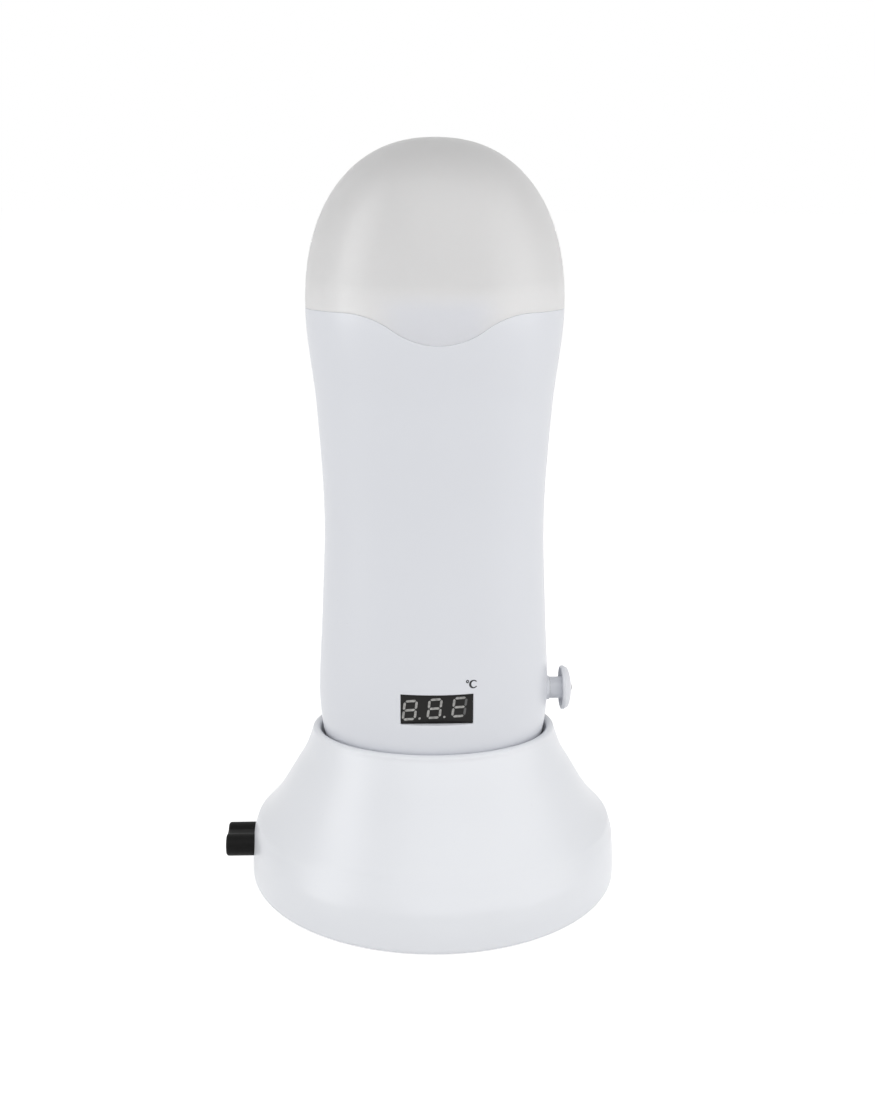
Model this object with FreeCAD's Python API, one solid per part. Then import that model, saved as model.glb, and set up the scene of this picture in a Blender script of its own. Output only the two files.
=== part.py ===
import FreeCAD, Part
import math
import os

# Roll-on wax heater: a waisted oval handset that stands in a heated-cradle base, under a frosted cap.
# Millimetres. +Z up, the display faces -Y, the knob is on +X and the power inlet on -X.
# The origin is the middle of the foot ring's resting face.

V = FreeCAD.Vector
UP = V(0, 0, 1)
RIGHT = V(1, 0, 0)
BACK = V(0, 1, 0)

# ---------------------------------------------------------------- driving sizes: handset
# The handset's side outline, as height and half-width. Its plan is an oval of four arcs.
FOOT_Z = 26.0
FOOT_HALF = 31.0
HEEL_Z = 44.5
HEEL_HALF = 34.7
LOWER_Z = 55.0
LOWER_HALF = 36.7
BULGE_Z = 66.0
BULGE_HALF = 37.2
FLANK_BELOW_MIDDLE = 4.5
FLANK_HALF = 35.95
WAIST_ABOVE_MIDDLE = 11.5
WAIST_HALF = 34.8
SHOULDER_DROP = 30.0
SHOULDER_HALF = 36.65
SEAM_Z = 187.0
SEAM_HALF = 39.6
BULGE_HALF_DEPTH = 27.3
SHELL_WALL = 2.2
FOOT_CHAMFER = 1.2
FOOT_LIP = 1.3
FOOT_LEDGE = 4.4
LEDGE_THICK = 1.5
BOTTOM_COVER_THICK = 2.0

# Parting line between the cap and the shells: level, with a tongue dipping at the front.
TONGUE_HALF = 27.5
TONGUE_DIP = 8.8
SEAM_GAP = 0.3

# ---------------------------------------------------------------- driving sizes: cap and collar
CAP_HEIGHT = 50.0
CAP_WALL = 2.0
CAP_FULLNESS = 2.25
CAP_ANGLES = (0, 12, 24, 36, 48, 58, 68, 77, 85)
CAP_INNER_ANGLES = (0, 20, 40, 58, 76)
COLLAR_CLEARANCE = 0.3
COLLAR_SHELL_FIT = 0.1
COLLAR_WALL = 1.8
COLLAR_RISE = 5.0
COLLAR_TAPER = 0.5
COLLAR_SKIRT = 21.0
DECK_DROP = 5.0
DECK_THICK = 2.0
NIB_WIDTH = 6.0
NIB_HEIGHT = 2.6
NIB_PROUD = 1.1
NIB_DROP = 4.2

# ---------------------------------------------------------------- driving sizes: heating chamber
CARTRIDGE_HALF_WIDTH = 27.0
CARTRIDGE_HALF_DEPTH = 18.5
CARTRIDGE_CLEARANCE = 1.0
CHAMBER_WALL = 1.2
CHAMBER_FLOOR = 1.6
CHAMBER_ABOVE_BOARD = 9.0
FLANGE_WIDTH = 4.2
FLANGE_THICK = 1.6
HEATER_THICK = 0.8
HEATER_BELOW_DECK = 30.0
HEATER_ABOVE_FLOOR = 12.0
BAND_THICK = 0.4
BAND_HEIGHT = 4.0
WRAP_GAP = 0.1
SENSOR_R = 2.0
SENSOR_LENGTH = 9.0
SENSOR_OFFSET = 8.0
CLIP_BOSS_R = 2.6
CLIP_THICK = 0.8
CLIP_HALF_DEPTH = 3.0

# ---------------------------------------------------------------- driving sizes: base
BASE_HALF_WIDTH = 60.2
BASE_HALF_DEPTH = 59.0
BASE_BOTTOM_Z = 0.5
BASE_EDGE = 0.8
BASE_WALL = 2.4
LIP_Z = 51.3
LIP_WALL = 0.8
MOUTH_GAP = 1.75
# Where the bell stands between its lip (0) and its drum (1): height, share across, share in depth.
# At the sides a straight flank flares out over the drum's shoulder; in front one slope runs to the drum.
BELL_SHAPE = (
    (0.035, 1.0, 1.0),
    (0.17, 0.985, 0.980),
    (0.26, 0.967, 0.895),
    (0.335, 0.945, 0.795),
    (0.372, 0.915, 0.738),
    (0.408, 0.785, 0.683),
    (0.45, 0.735, 0.625),
    (0.66, 0.410, 0.370),
    (0.92, 0.066, 0.092),
    (0.975, 0.030, 0.035),
)
BELL_INNER_LEVELS = (0.17, 0.35, 0.5, 0.68)
CUP_WALL = 1.2
CUP_FLOOR = 2.0
SEAT_GAP = 0.2
CUP_DROP = 6.0
COVER_Z = 1.3
COVER_THICK = 2.2
COVER_CLEARANCE = 0.3
FOOT_RING_INSET = 9.0
FOOT_RING_WIDTH = 6.0
FOOT_RING_SUNK = 0.6
POST_INSET = 3.8
POST_TURN = 38.4
POST_R = 3.6
CUP_CLEARANCE = 0.5
PILLAR_R = 3.2
PILLAR_X = 12.0

# ---------------------------------------------------------------- driving sizes: contacts
CONTACT_X = 9.0
PIN_R = 2.0
PIN_COLLAR_R = 2.8
PIN_COLLAR_Z = 18.6
PIN_COLLAR_THICK = 1.4
PIN_BOTTOM_Z = 14.4
PIN_TRAVEL = 1.2
PIN_CLEARANCE = 0.08
TOUCH_GAP = 0.05
BLOCK_HALF_WIDTH = 17.0
BLOCK_HALF_DEPTH = 8.0
BLOCK_BOTTOM_Z = 9.6
LEAF_THICK = 0.4
LEAF_WIDTH = 4.4
STUD_HEAD_R = 4.0
STUD_SHANK_R = 1.5

# ---------------------------------------------------------------- driving sizes: inlet
INLET_Z = 10.6
INLET_LOBE_R = 3.7
INLET_PITCH = 8.6
INLET_WALL = 0.9
INLET_PROUD = 8.6
INLET_SETBACK = 5.8
INLET_PIN_R = 1.2
INLET_PIN_LENGTH = 8.0
INLET_BODY_LENGTH = 9.0
INLET_TAIL = 3.5
FIT_GAP = 0.15

# ---------------------------------------------------------------- driving sizes: display and boards
DISPLAY_WIDTH = 22.5
DISPLAY_HEIGHT = 9.8
DISPLAY_DEPTH = 6.0
DISPLAY_ABOVE_LIP = 14.6
DISPLAY_SINK = 0.25
BOARD_THICK = 1.6
DISPLAY_BOARD_SIDE = 5.75
DISPLAY_BOARD_END = 6.6
DISPLAY_POST_INSET = 2.8
DISPLAY_POST_R = 2.2
DISPLAY_SCREW_BITE = 1.2
BOARD_SCREW_BITE = 4.0
CONTROL_BOARD_Y = 2.0
CONTROL_BOARD_HALF = 18.5
CONTROL_BOARD_BOTTOM = 33.5
CONTROL_BOARD_TOP = 74.0

# ---------------------------------------------------------------- driving sizes: knob
KNOB_ABOVE_LIP = 11.9
KNOB_HEAD_R = 7.2
KNOB_HEAD_THICK = 4.5
KNOB_RIM = 1.9
KNOB_NECK_R = 3.65
KNOB_NECK = 3.1
KNOB_GAP = 0.2
BOSS_RISE = 1.4
BOSS_R = 4.4
BUSHING_R = 3.3
SHAFT_R = 2.0
SHAFT_CLEARANCE = 0.05
POT_SIZE = 11.0
POT_LENGTH = 7.0
PAD_THICK = 2.2
SHAFT_SHORT = 2.0
KNOB_SCREW_SUNK = 0.1

# ---------------------------------------------------------------- driving sizes: fasteners
SCREW_R = 1.4
SCREW_HEAD_R = 2.7
SCREW_HEAD = 1.6
SCREW_GAP = 0.1
SMALL_SCREW_R = 1.0
SMALL_HEAD_R = 1.9
SMALL_HEAD = 1.2
WELL_CLEARANCE = 0.3
BOSS_WALL = 1.0
SHELL_SCREWS = ((24.0, 39.0), (27.0, 77.0))
SHELL_SCREW_BITE = 8.0
SCREW_SEAT_Y = 6.0
BASE_SCREW_BITE = 8.0
BASE_SCREW_HEAD = 1.4
COVER_SEAT = 0.7

# Heights and radii that follow from the sizes above.
DISPLAY_Z = LIP_Z + DISPLAY_ABOVE_LIP
KNOB_Z = LIP_Z + KNOB_ABOVE_LIP
FOOT_RING_R = min(BASE_HALF_WIDTH, BASE_HALF_DEPTH) - FOOT_RING_INSET
WELL_R = SCREW_HEAD_R + WELL_CLEARANCE
INLET_END_X = -BASE_HALF_WIDTH - INLET_PROUD
INLET_BODY_X = -BASE_HALF_WIDTH + INLET_SETBACK
REACH = 100.0
ROUND_ENOUGH = 0.01
# The waist lies above the middle of bulge and shoulder, and the flank below the middle of bulge and waist.
SHOULDER_Z = SEAM_Z - SHOULDER_DROP
WAIST_Z = (BULGE_Z + SHOULDER_Z) / 2 + WAIST_ABOVE_MIDDLE
FLANK_Z = (BULGE_Z + WAIST_Z) / 2 - FLANK_BELOW_MIDDLE
COLLAR_LOW = SEAM_Z - COLLAR_SKIRT
# Heights at which the outside and the inside of the shells change slope.
OUTER_LEVELS = (
    (FOOT_Z + HEEL_Z) / 2,
    HEEL_Z,
    LOWER_Z,
    BULGE_Z,
    (BULGE_Z + FLANK_Z) / 2,
    FLANK_Z,
    (FLANK_Z + WAIST_Z) / 2,
    WAIST_Z,
    (WAIST_Z + SHOULDER_Z) / 2,
    SHOULDER_Z,
    COLLAR_LOW,
    (COLLAR_LOW + SEAM_Z) / 2,
)
INNER_LEVELS = (
    HEEL_Z,
    BULGE_Z,
    FLANK_Z,
    WAIST_Z,
    (WAIST_Z + COLLAR_LOW) / 2,
    COLLAR_LOW,
    (COLLAR_LOW + SEAM_Z) / 2,
)


# ---------------------------------------------------------------- plan ovals
def four_arcs(long_half, short_half):
    """An oval of four tangent arcs: the end arcs' radius and centre offset, then the side arcs'."""
    end_r = short_half**2 / long_half
    end_at = long_half - end_r
    side_r = (end_at**2 + short_half**2 - end_r**2) / (2 * (short_half - end_r))
    return end_r, end_at, side_r, side_r - short_half


def arc_join(long_half, short_half, offset):
    """Where an end arc meets a side arc, along and across the oval. A round one is parted at 45 degrees."""
    if long_half - short_half < ROUND_ENOUGH:
        middle = (long_half + offset) * math.sqrt(0.5)
        return middle, middle
    end_r, end_at, side_r, side_at = four_arcs(long_half, short_half)
    reach = math.hypot(end_at, side_at)
    return end_at + (end_r + offset) * end_at / reach, (end_r + offset) * side_at / reach


def offset_ring(offset, z, half_width, half_depth):
    """An oval wire at height z, offset evenly outwards from the oval of the given half sizes."""
    if half_width >= half_depth:
        join_x, join_y = arc_join(half_width, half_depth, offset)
    else:
        join_y, join_x = arc_join(half_depth, half_width, offset)
    wide = half_width + offset
    deep = half_depth + offset
    corners = [V(join_x, -join_y, z), V(join_x, join_y, z), V(-join_x, join_y, z), V(-join_x, -join_y, z)]
    crests = [V(wide, 0, z), V(0, deep, z), V(-wide, 0, z), V(0, -deep, z)]
    arcs = [Part.Arc(corners[i], crests[i], corners[(i + 1) % 4]).toShape() for i in range(4)]
    return Part.Wire(arcs)


def oval_wire(half_width, half_depth, z):
    return offset_ring(0.0, z, half_width, half_depth)


def oval_solid(profile, half_width=BULGE_HALF, half_depth=BULGE_HALF_DEPTH):
    """A solid of conical bands through (half-width, z), every level of it offset from one oval.

    Solids made this way nest inside each other with an even gap."""
    rings = [offset_ring(half - half_width, z, half_width, half_depth) for half, z in profile]
    return Part.makeLoft(rings, True, True)


def offset_profile(low, high, between, offset):
    """The handset's outline from low to high by way of the levels between them, moved in or out by offset."""
    heights = [low] + sorted(z for z in between if low < z < high) + [high]
    return [(half_width(z) + offset, z) for z in heights]


def make_outline():
    stations = [
        (FOOT_HALF, FOOT_Z),
        (HEEL_HALF, HEEL_Z),
        (LOWER_HALF, LOWER_Z),
        (BULGE_HALF, BULGE_Z),
        (FLANK_HALF, FLANK_Z),
        (WAIST_HALF, WAIST_Z),
        (SHOULDER_HALF, SHOULDER_Z),
        (SEAM_HALF, SEAM_Z),
    ]
    curve = Part.BSplineCurve()
    curve.interpolate(
        Points=[V(half, 0, z) for half, z in stations],
        Parameters=[z for half, z in stations],
        InitialTangent=V((HEEL_HALF - FOOT_HALF) / (HEEL_Z - FOOT_Z), 0, 1),
        FinalTangent=UP,
        Scale=False,
    )
    return curve


OUTLINE = make_outline()


def half_width(z):
    """Half the handset's width at a height. Above the parting line it stays at the parting line's."""
    return OUTLINE.value(min(max(z, FOOT_Z), SEAM_Z)).x


def front_y(x, z, offset=0.0):
    """Where the handset's front surface, moved by offset, stands at x and z."""
    radius, centre = four_arcs(BULGE_HALF, BULGE_HALF_DEPTH)[2:]
    radius += half_width(z) - BULGE_HALF + offset
    return centre - math.sqrt(radius**2 - x**2)


# ---------------------------------------------------------------- small makers
def cylinder(radius, low, high, x=0.0, y=0.0):
    return Part.makeCylinder(radius, high - low, V(x, y, low), UP)


def block(x0, x1, y0, y1, z0, z1):
    return Part.makeBox(x1 - x0, y1 - y0, z1 - z0, V(x0, y0, z0))


def turned(profile, start, direction):
    """A part turned on a lathe: the profile of (radius, distance) about an axis from start."""
    outline = [V(radius, 0, along) for radius, along in profile]
    solid = Part.Face(Part.makePolygon(outline + outline[:1])).revolve(V(), UP, 360)
    solid.Placement = FreeCAD.Placement(start, FreeCAD.Rotation(UP, direction))
    return solid


def screw(seat, direction, length, shank_r, head_r, head):
    """A plain-headed screw: seat is under its head, and the shank runs along direction."""
    shank = Part.makeCylinder(shank_r, length, seat, direction)
    return Part.makeCylinder(head_r, head, seat - direction * head, direction).fuse(shank)


def small_screws(seats, direction, length):
    screws = [screw(seat, direction, length, SMALL_SCREW_R, SMALL_HEAD_R, SMALL_HEAD) for seat in seats]
    return Part.makeCompound(screws)


def save(name, shape):
    solids = shape.Solids
    whole = solids[0] if len(solids) == 1 else Part.makeCompound(solids)
    whole.exportStep("parts/%s.step" % name)


# ---------------------------------------------------------------- parting line of the cap
def cap_region(shift):
    """All above the parting line, moved up by shift: a level cut with a tongue dipping at the front."""
    top = SEAM_Z + shift
    low = top - TONGUE_DIP
    mid = top - TONGUE_DIP / 2
    radius = (TONGUE_HALF**2 + TONGUE_DIP**2) / (4 * TONGUE_DIP)
    turn = math.asin(TONGUE_HALF / 2 / radius) / 2
    near = radius * math.sin(turn)
    drop = radius * (1 - math.cos(turn))
    half = TONGUE_HALF
    edges = [
        Part.Arc(V(-half, 0, top), V(-half + near, 0, top - drop), V(-half / 2, 0, mid)).toShape(),
        Part.Arc(V(-half / 2, 0, mid), V(0, 0, low), V(half / 2, 0, mid)).toShape(),
        Part.Arc(V(half / 2, 0, mid), V(half - near, 0, top - drop), V(half, 0, top)).toShape(),
        Part.makePolygon([V(half, 0, top), V(half, 0, top + 1), V(-half, 0, top + 1), V(-half, 0, top)]),
    ]
    loose = [edge for shape in edges for edge in shape.Edges]
    tongue = Part.Face(Part.Wire(loose)).extrude(BACK * -REACH)
    return block(-REACH, REACH, -REACH, REACH, top, top + REACH).fuse(tongue)


# ---------------------------------------------------------------- handset shells
def shell_form():
    """Both handset shells as one hollow form, with the ledge and groove that trap the bottom cover."""
    outer = offset_profile(FOOT_Z + FOOT_CHAMFER, SEAM_Z, OUTER_LEVELS, 0.0)
    form = oval_solid([(half_width(FOOT_Z) - FOOT_CHAMFER, FOOT_Z)] + outer)
    inner = offset_profile(ledge_top(), SEAM_Z, INNER_LEVELS, -SHELL_WALL)
    form = form.cut(oval_solid(inner + [(inner[-1][0], SEAM_Z + 1)]))
    mouth = half_width(FOOT_Z) - FOOT_LEDGE
    form = form.cut(oval_solid([(mouth, FOOT_Z - 1), (mouth, ledge_top() + 1)]))
    groove = half_width(bottom_cover_z()) - SHELL_WALL
    low = bottom_cover_z() - FIT_GAP
    return form.cut(oval_solid([(groove, low), (groove, low + BOTTOM_COVER_THICK + 2 * FIT_GAP)]))


def mid_skin():
    """The handset's form to the middle of its wall, where posts and bosses end."""
    return oval_solid(offset_profile(FOOT_Z, SEAM_Z, INNER_LEVELS, -SHELL_WALL / 2))


def bottom_cover_z():
    return FOOT_Z + FOOT_LIP + FIT_GAP


def ledge_top():
    return bottom_cover_z() + BOTTOM_COVER_THICK + LEDGE_THICK


def shell_screw_spots():
    return [(side * x, z) for x, z in SHELL_SCREWS for side in (-1, 1)]


def rod_y(radius, x, z, start, end):
    return Part.makeCylinder(radius, end - start, V(x, start, z), BACK)


def shaft_hole(form):
    """The raised boss round the shaft, its inner pad and its hole, in either shell."""
    wall = half_width(KNOB_Z)
    profile = [(0, 0), (BOSS_R + BOSS_RISE, 0), (BOSS_R, BOSS_RISE * 0.6)]
    profile += [(KNOB_NECK_R + 0.3, BOSS_RISE), (0, BOSS_RISE)]
    boss = turned(profile, V(wall, 0, KNOB_Z), RIGHT)
    root = Part.makeCylinder(BOSS_R, SHELL_WALL, V(wall - SHELL_WALL, 0, KNOB_Z), RIGHT)
    pad = Part.makeCylinder(POT_SIZE / 2 + 1, PAD_THICK + SHELL_WALL / 2, V(pot_face(), 0, KNOB_Z), RIGHT)
    hole = Part.makeCylinder(BUSHING_R + FIT_GAP, REACH, V(pot_face() - 1, 0, KNOB_Z), RIGHT)
    return form.fuse([boss, root, pad]).cut(hole)


def pot_face():
    """The flat inside the shell that the potentiometer's body butts against."""
    return half_width(KNOB_Z) - SHELL_WALL - PAD_THICK


def front_shell(form):
    """Front half, with the display window, its board posts and the screw bosses."""
    shell = form.cut(block(-REACH, REACH, 0, REACH, 0, SEAM_Z + REACH))
    skin = mid_skin()
    posts = [rod_y(WELL_R + BOSS_WALL, x, z, -REACH, 0) for x, z in shell_screw_spots()]
    posts += [rod_y(DISPLAY_POST_R, x, z, -REACH, display_board_y()) for x, z in display_post_spots()]
    shell = shell.fuse([post.common(skin) for post in posts])
    for x, z in shell_screw_spots():
        shell = shell.cut(rod_y(SCREW_R + SCREW_GAP, x, z, -SHELL_SCREW_BITE - 1, 0))
    board_y = display_board_y()
    for x, z in display_post_spots():
        shell = shell.cut(rod_y(SMALL_SCREW_R + SCREW_GAP, x, z, board_y - DISPLAY_SCREW_BITE, board_y))
    wide = DISPLAY_WIDTH / 2 + FIT_GAP
    tall = DISPLAY_HEIGHT / 2 + FIT_GAP
    window = block(-wide, wide, -REACH, display_face_y() + DISPLAY_DEPTH, DISPLAY_Z - tall, DISPLAY_Z + tall)
    return shell.cut(window)


def display_face_y():
    """The display is flat and the shell is curved: its face stands just behind the window's corners."""
    return front_y(DISPLAY_WIDTH / 2, DISPLAY_Z + DISPLAY_HEIGHT / 2) + DISPLAY_SINK


def display_board_y():
    return display_face_y() + DISPLAY_DEPTH


def display_post_spots():
    x = DISPLAY_WIDTH / 2 + DISPLAY_BOARD_SIDE - DISPLAY_POST_INSET
    z = DISPLAY_HEIGHT / 2 + DISPLAY_BOARD_END - DISPLAY_POST_INSET
    return [(-x, DISPLAY_Z - z), (x, DISPLAY_Z + z)]


def rear_shell(form):
    """Rear half, with the screw pillars sunk from behind and the control board's posts."""
    shell = form.cut(block(-REACH, REACH, -REACH, 0, 0, SEAM_Z + REACH))
    skin = mid_skin()
    posts = [rod_y(WELL_R + BOSS_WALL, x, z, 0, REACH) for x, z in shell_screw_spots()]
    board_back = CONTROL_BOARD_Y + BOARD_THICK
    posts += [rod_y(DISPLAY_POST_R, x, z, board_back, REACH) for x, z in board_post_spots()]
    shell = shell.fuse([post.common(skin) for post in posts])
    for x, z in shell_screw_spots():
        shell = shell.cut(rod_y(SCREW_R + SCREW_GAP, x, z, 0, REACH))
        shell = shell.cut(rod_y(WELL_R, x, z, SCREW_SEAT_Y, REACH))
    for x, z in board_post_spots():
        shell = shell.cut(rod_y(SMALL_SCREW_R + SCREW_GAP, x, z, 0, board_back + BOARD_SCREW_BITE + 1))
    return shell


def board_post_spots():
    return [(-15.0, CONTROL_BOARD_TOP - 3.5), (15.0, CONTROL_BOARD_BOTTOM + 3.5)]


def shell_screws():
    length = SCREW_SEAT_Y + SHELL_SCREW_BITE
    seats = [V(x, SCREW_SEAT_Y, z) for x, z in shell_screw_spots()]
    front = BACK * -1
    screws = [screw(seat, front, length, SCREW_R, SCREW_HEAD_R, SCREW_HEAD) for seat in seats]
    return Part.makeCompound(screws)


def handset_bottom_cover():
    """The oval plate trapped between the shells' foot lip and ledge, drilled for the contact studs."""
    half = half_width(bottom_cover_z()) - SHELL_WALL - FIT_GAP
    low = bottom_cover_z()
    plate = oval_solid([(half, low), (half, low + BOTTOM_COVER_THICK)])
    for x in (-CONTACT_X, CONTACT_X):
        plate = plate.cut(cylinder(STUD_SHANK_R + SCREW_GAP, 0, REACH, x))
    return plate


def contact_studs():
    """Brass studs under the bottom cover, riveted through it, that rest on the base's pins."""
    low = bottom_cover_z()
    top = low + BOTTOM_COVER_THICK
    studs = []
    for x in (-CONTACT_X, CONTACT_X):
        profile = [(0, FOOT_Z), (STUD_HEAD_R - 0.4, FOOT_Z), (STUD_HEAD_R, FOOT_Z + 0.4), (STUD_HEAD_R, low)]
        profile += [(STUD_SHANK_R, low), (STUD_SHANK_R, top), (STUD_SHANK_R * 1.7, top)]
        profile += [(STUD_SHANK_R * 1.5, top + 0.7), (0, top + 0.7)]
        studs.append(turned(profile, V(x, 0, 0), UP))
    return Part.makeCompound(studs)


# ---------------------------------------------------------------- cap and collar
def dome(inset, angles):
    """The dome above the parting line: scaled ovals on a full-bellied curve, joined by straight bands."""
    wide = SEAM_HALF - inset
    deep = seam_half_depth() - inset
    tall = CAP_HEIGHT - inset
    power = 2 / CAP_FULLNESS
    rings = []
    for angle in angles:
        across = math.cos(math.radians(angle)) ** power
        rise = math.sin(math.radians(angle)) ** power
        rings.append(oval_wire(wide * across, deep * across, SEAM_Z + tall * rise))
    return Part.makeLoft(rings, True, True)


def seam_half_depth():
    return BULGE_HALF_DEPTH + SEAM_HALF - BULGE_HALF


def frosted_cap():
    """Translucent cap: a dome over a skirt that follows the shells down the front tongue."""
    low = SEAM_Z - TONGUE_DIP - 1
    outer = oval_solid(offset_profile(low, SEAM_Z, OUTER_LEVELS, 0.0)).fuse(dome(0.0, CAP_ANGLES))
    skirt = offset_profile(low - 1, SEAM_Z, INNER_LEVELS, -CAP_WALL)
    inner = oval_solid(skirt).fuse(dome(CAP_WALL, CAP_INNER_ANGLES))
    cap = outer.cut(inner).common(cap_region(SEAM_GAP / 2))
    slot_half = NIB_WIDTH / 2 + COLLAR_CLEARANCE
    slot_top = SEAM_Z - NIB_DROP + NIB_HEIGHT / 2 + 1
    slot_y = front_y(0, SEAM_Z, collar_offset()) - NIB_PROUD - COLLAR_CLEARANCE
    return cap.cut(block(-slot_half, slot_half, slot_y, 0, 0, slot_top))


def collar_offset():
    """The collar slips inside both walls: a sliding fit in the cap, a close one in the shells."""
    return -max(CAP_WALL + COLLAR_CLEARANCE, SHELL_WALL + COLLAR_SHELL_FIT)


def collar_bore(inset=0.0):
    """The space inside the collar, or that space less an inset all round."""
    bore = offset_profile(COLLAR_LOW, SEAM_Z, INNER_LEVELS, collar_offset() - COLLAR_WALL - inset)
    return oval_solid([(bore[0][0], COLLAR_LOW - 1)] + bore[1:] + [(bore[-1][0], SEAM_Z + COLLAR_RISE + 1)])


def collar():
    """The ring that guides the cap: a spigot, a deck round the cartridge's mouth, and a nib in front."""
    offset = collar_offset()
    top = SEAM_Z + COLLAR_RISE
    outer = offset_profile(COLLAR_LOW, SEAM_Z, INNER_LEVELS, offset)
    wide = outer[-1][0]
    ring = oval_solid(outer + [(wide - COLLAR_TAPER, top - 0.7), (wide - COLLAR_TAPER - 0.6, top)])
    deck_half = half_width(deck_z()) + offset - COLLAR_WALL / 2
    deck = oval_solid([(deck_half, deck_z()), (deck_half, deck_z() + DECK_THICK)])
    mouth = chamber_oval(CARTRIDGE_CLEARANCE, deck_z() - 1, deck_z() + DECK_THICK + 1)
    ring = ring.cut(collar_bore()).fuse(deck).cut(mouth)
    nib_z = SEAM_Z - NIB_DROP
    nib_y = front_y(0, nib_z, offset)
    wide, tall = NIB_WIDTH / 2, NIB_HEIGHT / 2
    nib = block(-wide, wide, nib_y - NIB_PROUD, nib_y + 1, nib_z - tall, nib_z + tall)
    ring = ring.fuse(nib)
    for x in chamber_screw_spots():
        ring = ring.cut(cylinder(SMALL_SCREW_R + SCREW_GAP, deck_z() - 1, deck_z() + DECK_THICK + 1, x))
    return ring


def deck_z():
    return SEAM_Z - DECK_DROP - DECK_THICK


# ---------------------------------------------------------------- heating chamber
def chamber_oval(offset, low, high):
    """A straight oval round the cartridge, offset outwards."""
    profile = [(CARTRIDGE_HALF_WIDTH + offset, low), (CARTRIDGE_HALF_WIDTH + offset, high)]
    return oval_solid(profile, CARTRIDGE_HALF_WIDTH, CARTRIDGE_HALF_DEPTH)


def chamber_ring(offset, thick, low, high):
    return chamber_oval(offset + thick, low, high).cut(chamber_oval(offset, low - 1, high + 1))


def chamber_floor_z():
    """Underside of the chamber's floor, clear of the control board's top."""
    return CONTROL_BOARD_TOP + CHAMBER_ABOVE_BOARD


def chamber_screw_spots():
    x = CARTRIDGE_HALF_WIDTH + CARTRIDGE_CLEARANCE + CHAMBER_WALL + FLANGE_WIDTH / 2
    return (-x, x)


def heating_chamber():
    """Drawn aluminium cup: flanged mouth under the collar's deck, and a boss under its floor for the clip."""
    low = chamber_floor_z()
    skin = CARTRIDGE_CLEARANCE + CHAMBER_WALL
    cup = chamber_oval(skin, low, deck_z())
    flange = chamber_oval(skin + FLANGE_WIDTH, deck_z() - FLANGE_THICK, deck_z())
    cup = cup.fuse(flange.common(collar_bore(FIT_GAP)))
    cup = cup.cut(chamber_oval(CARTRIDGE_CLEARANCE, low + CHAMBER_FLOOR, deck_z() + 1))
    cup = cup.fuse(cylinder(CLIP_BOSS_R, low - 2 * SENSOR_R, low))
    cup = cup.cut(cylinder(SMALL_SCREW_R + SCREW_GAP, low - 2 * SENSOR_R, low))
    for x in chamber_screw_spots():
        cup = cup.cut(cylinder(SMALL_SCREW_R + SCREW_GAP, deck_z() - 3, deck_z() + 1, x))
    return cup


def chamber_screws():
    seats = [V(x, 0, deck_z() + DECK_THICK) for x in chamber_screw_spots()]
    return small_screws(seats, UP * -1, DECK_THICK + FLANGE_THICK + 1)


def heater_span():
    return chamber_floor_z() + HEATER_ABOVE_FLOOR, deck_z() - HEATER_BELOW_DECK


def heater_wrap():
    return chamber_ring(CARTRIDGE_CLEARANCE + CHAMBER_WALL + WRAP_GAP, HEATER_THICK, *heater_span())


def clamp_bands():
    """Two steel bands that hold the heater wrap on the chamber."""
    low, high = heater_span()
    inset = CARTRIDGE_CLEARANCE + CHAMBER_WALL + WRAP_GAP + HEATER_THICK + WRAP_GAP
    starts = (low + BAND_HEIGHT, high - 2 * BAND_HEIGHT)
    return Part.makeCompound([chamber_ring(inset, BAND_THICK, z, z + BAND_HEIGHT) for z in starts])


def sensor(x):
    """A round-ended sensor lying across the chamber's floor."""
    z = chamber_floor_z() - SENSOR_R
    y = -SENSOR_LENGTH / 2
    profile = [(0, 0), (SENSOR_R * 0.6, 0), (SENSOR_R, 0.8), (SENSOR_R, SENSOR_LENGTH - 0.8)]
    profile += [(SENSOR_R * 0.6, SENSOR_LENGTH), (0, SENSOR_LENGTH)]
    return turned(profile, V(x, y, z), BACK)


def sensor_clip():
    """Spring-steel strap that presses both sensors against the chamber's floor."""
    top = chamber_floor_z() - 2 * SENSOR_R
    reach = SENSOR_OFFSET + SENSOR_R
    strap = block(-reach, reach, -CLIP_HALF_DEPTH, CLIP_HALF_DEPTH, top - CLIP_THICK, top)
    return strap.cut(cylinder(SMALL_SCREW_R + SCREW_GAP, top - 5, top + 1))


def clip_screw():
    seat = chamber_floor_z() - 2 * SENSOR_R - CLIP_THICK
    return screw(V(0, 0, seat), UP, CLIP_THICK + 2 * SENSOR_R - 0.4, SMALL_SCREW_R, SMALL_HEAD_R, SMALL_HEAD)


# ---------------------------------------------------------------- display, boards and knob
def led_display():
    """Three-digit module: a flat-faced moulding with its edges eased."""
    y = display_face_y()
    low = DISPLAY_Z - DISPLAY_HEIGHT / 2
    module = block(-DISPLAY_WIDTH / 2, DISPLAY_WIDTH / 2, y, y + DISPLAY_DEPTH, low, low + DISPLAY_HEIGHT)
    face_edges = [edge for edge in module.Edges if edge.BoundBox.YMax < y + 0.01]
    return module.makeChamfer(0.3, face_edges)


def display_board():
    y = display_board_y()
    half = DISPLAY_WIDTH / 2 + DISPLAY_BOARD_SIDE
    rise = DISPLAY_HEIGHT / 2 + DISPLAY_BOARD_END
    board = block(-half, half, y, y + BOARD_THICK, DISPLAY_Z - rise, DISPLAY_Z + rise)
    for x, z in display_post_spots():
        board = board.cut(rod_y(SMALL_SCREW_R + SCREW_GAP, x, z, y - 1, y + BOARD_THICK + 1))
    return board


def display_screws():
    seats = [V(x, display_board_y() + BOARD_THICK, z) for x, z in display_post_spots()]
    return small_screws(seats, BACK * -1, BOARD_THICK + DISPLAY_SCREW_BITE - 0.2)


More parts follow.
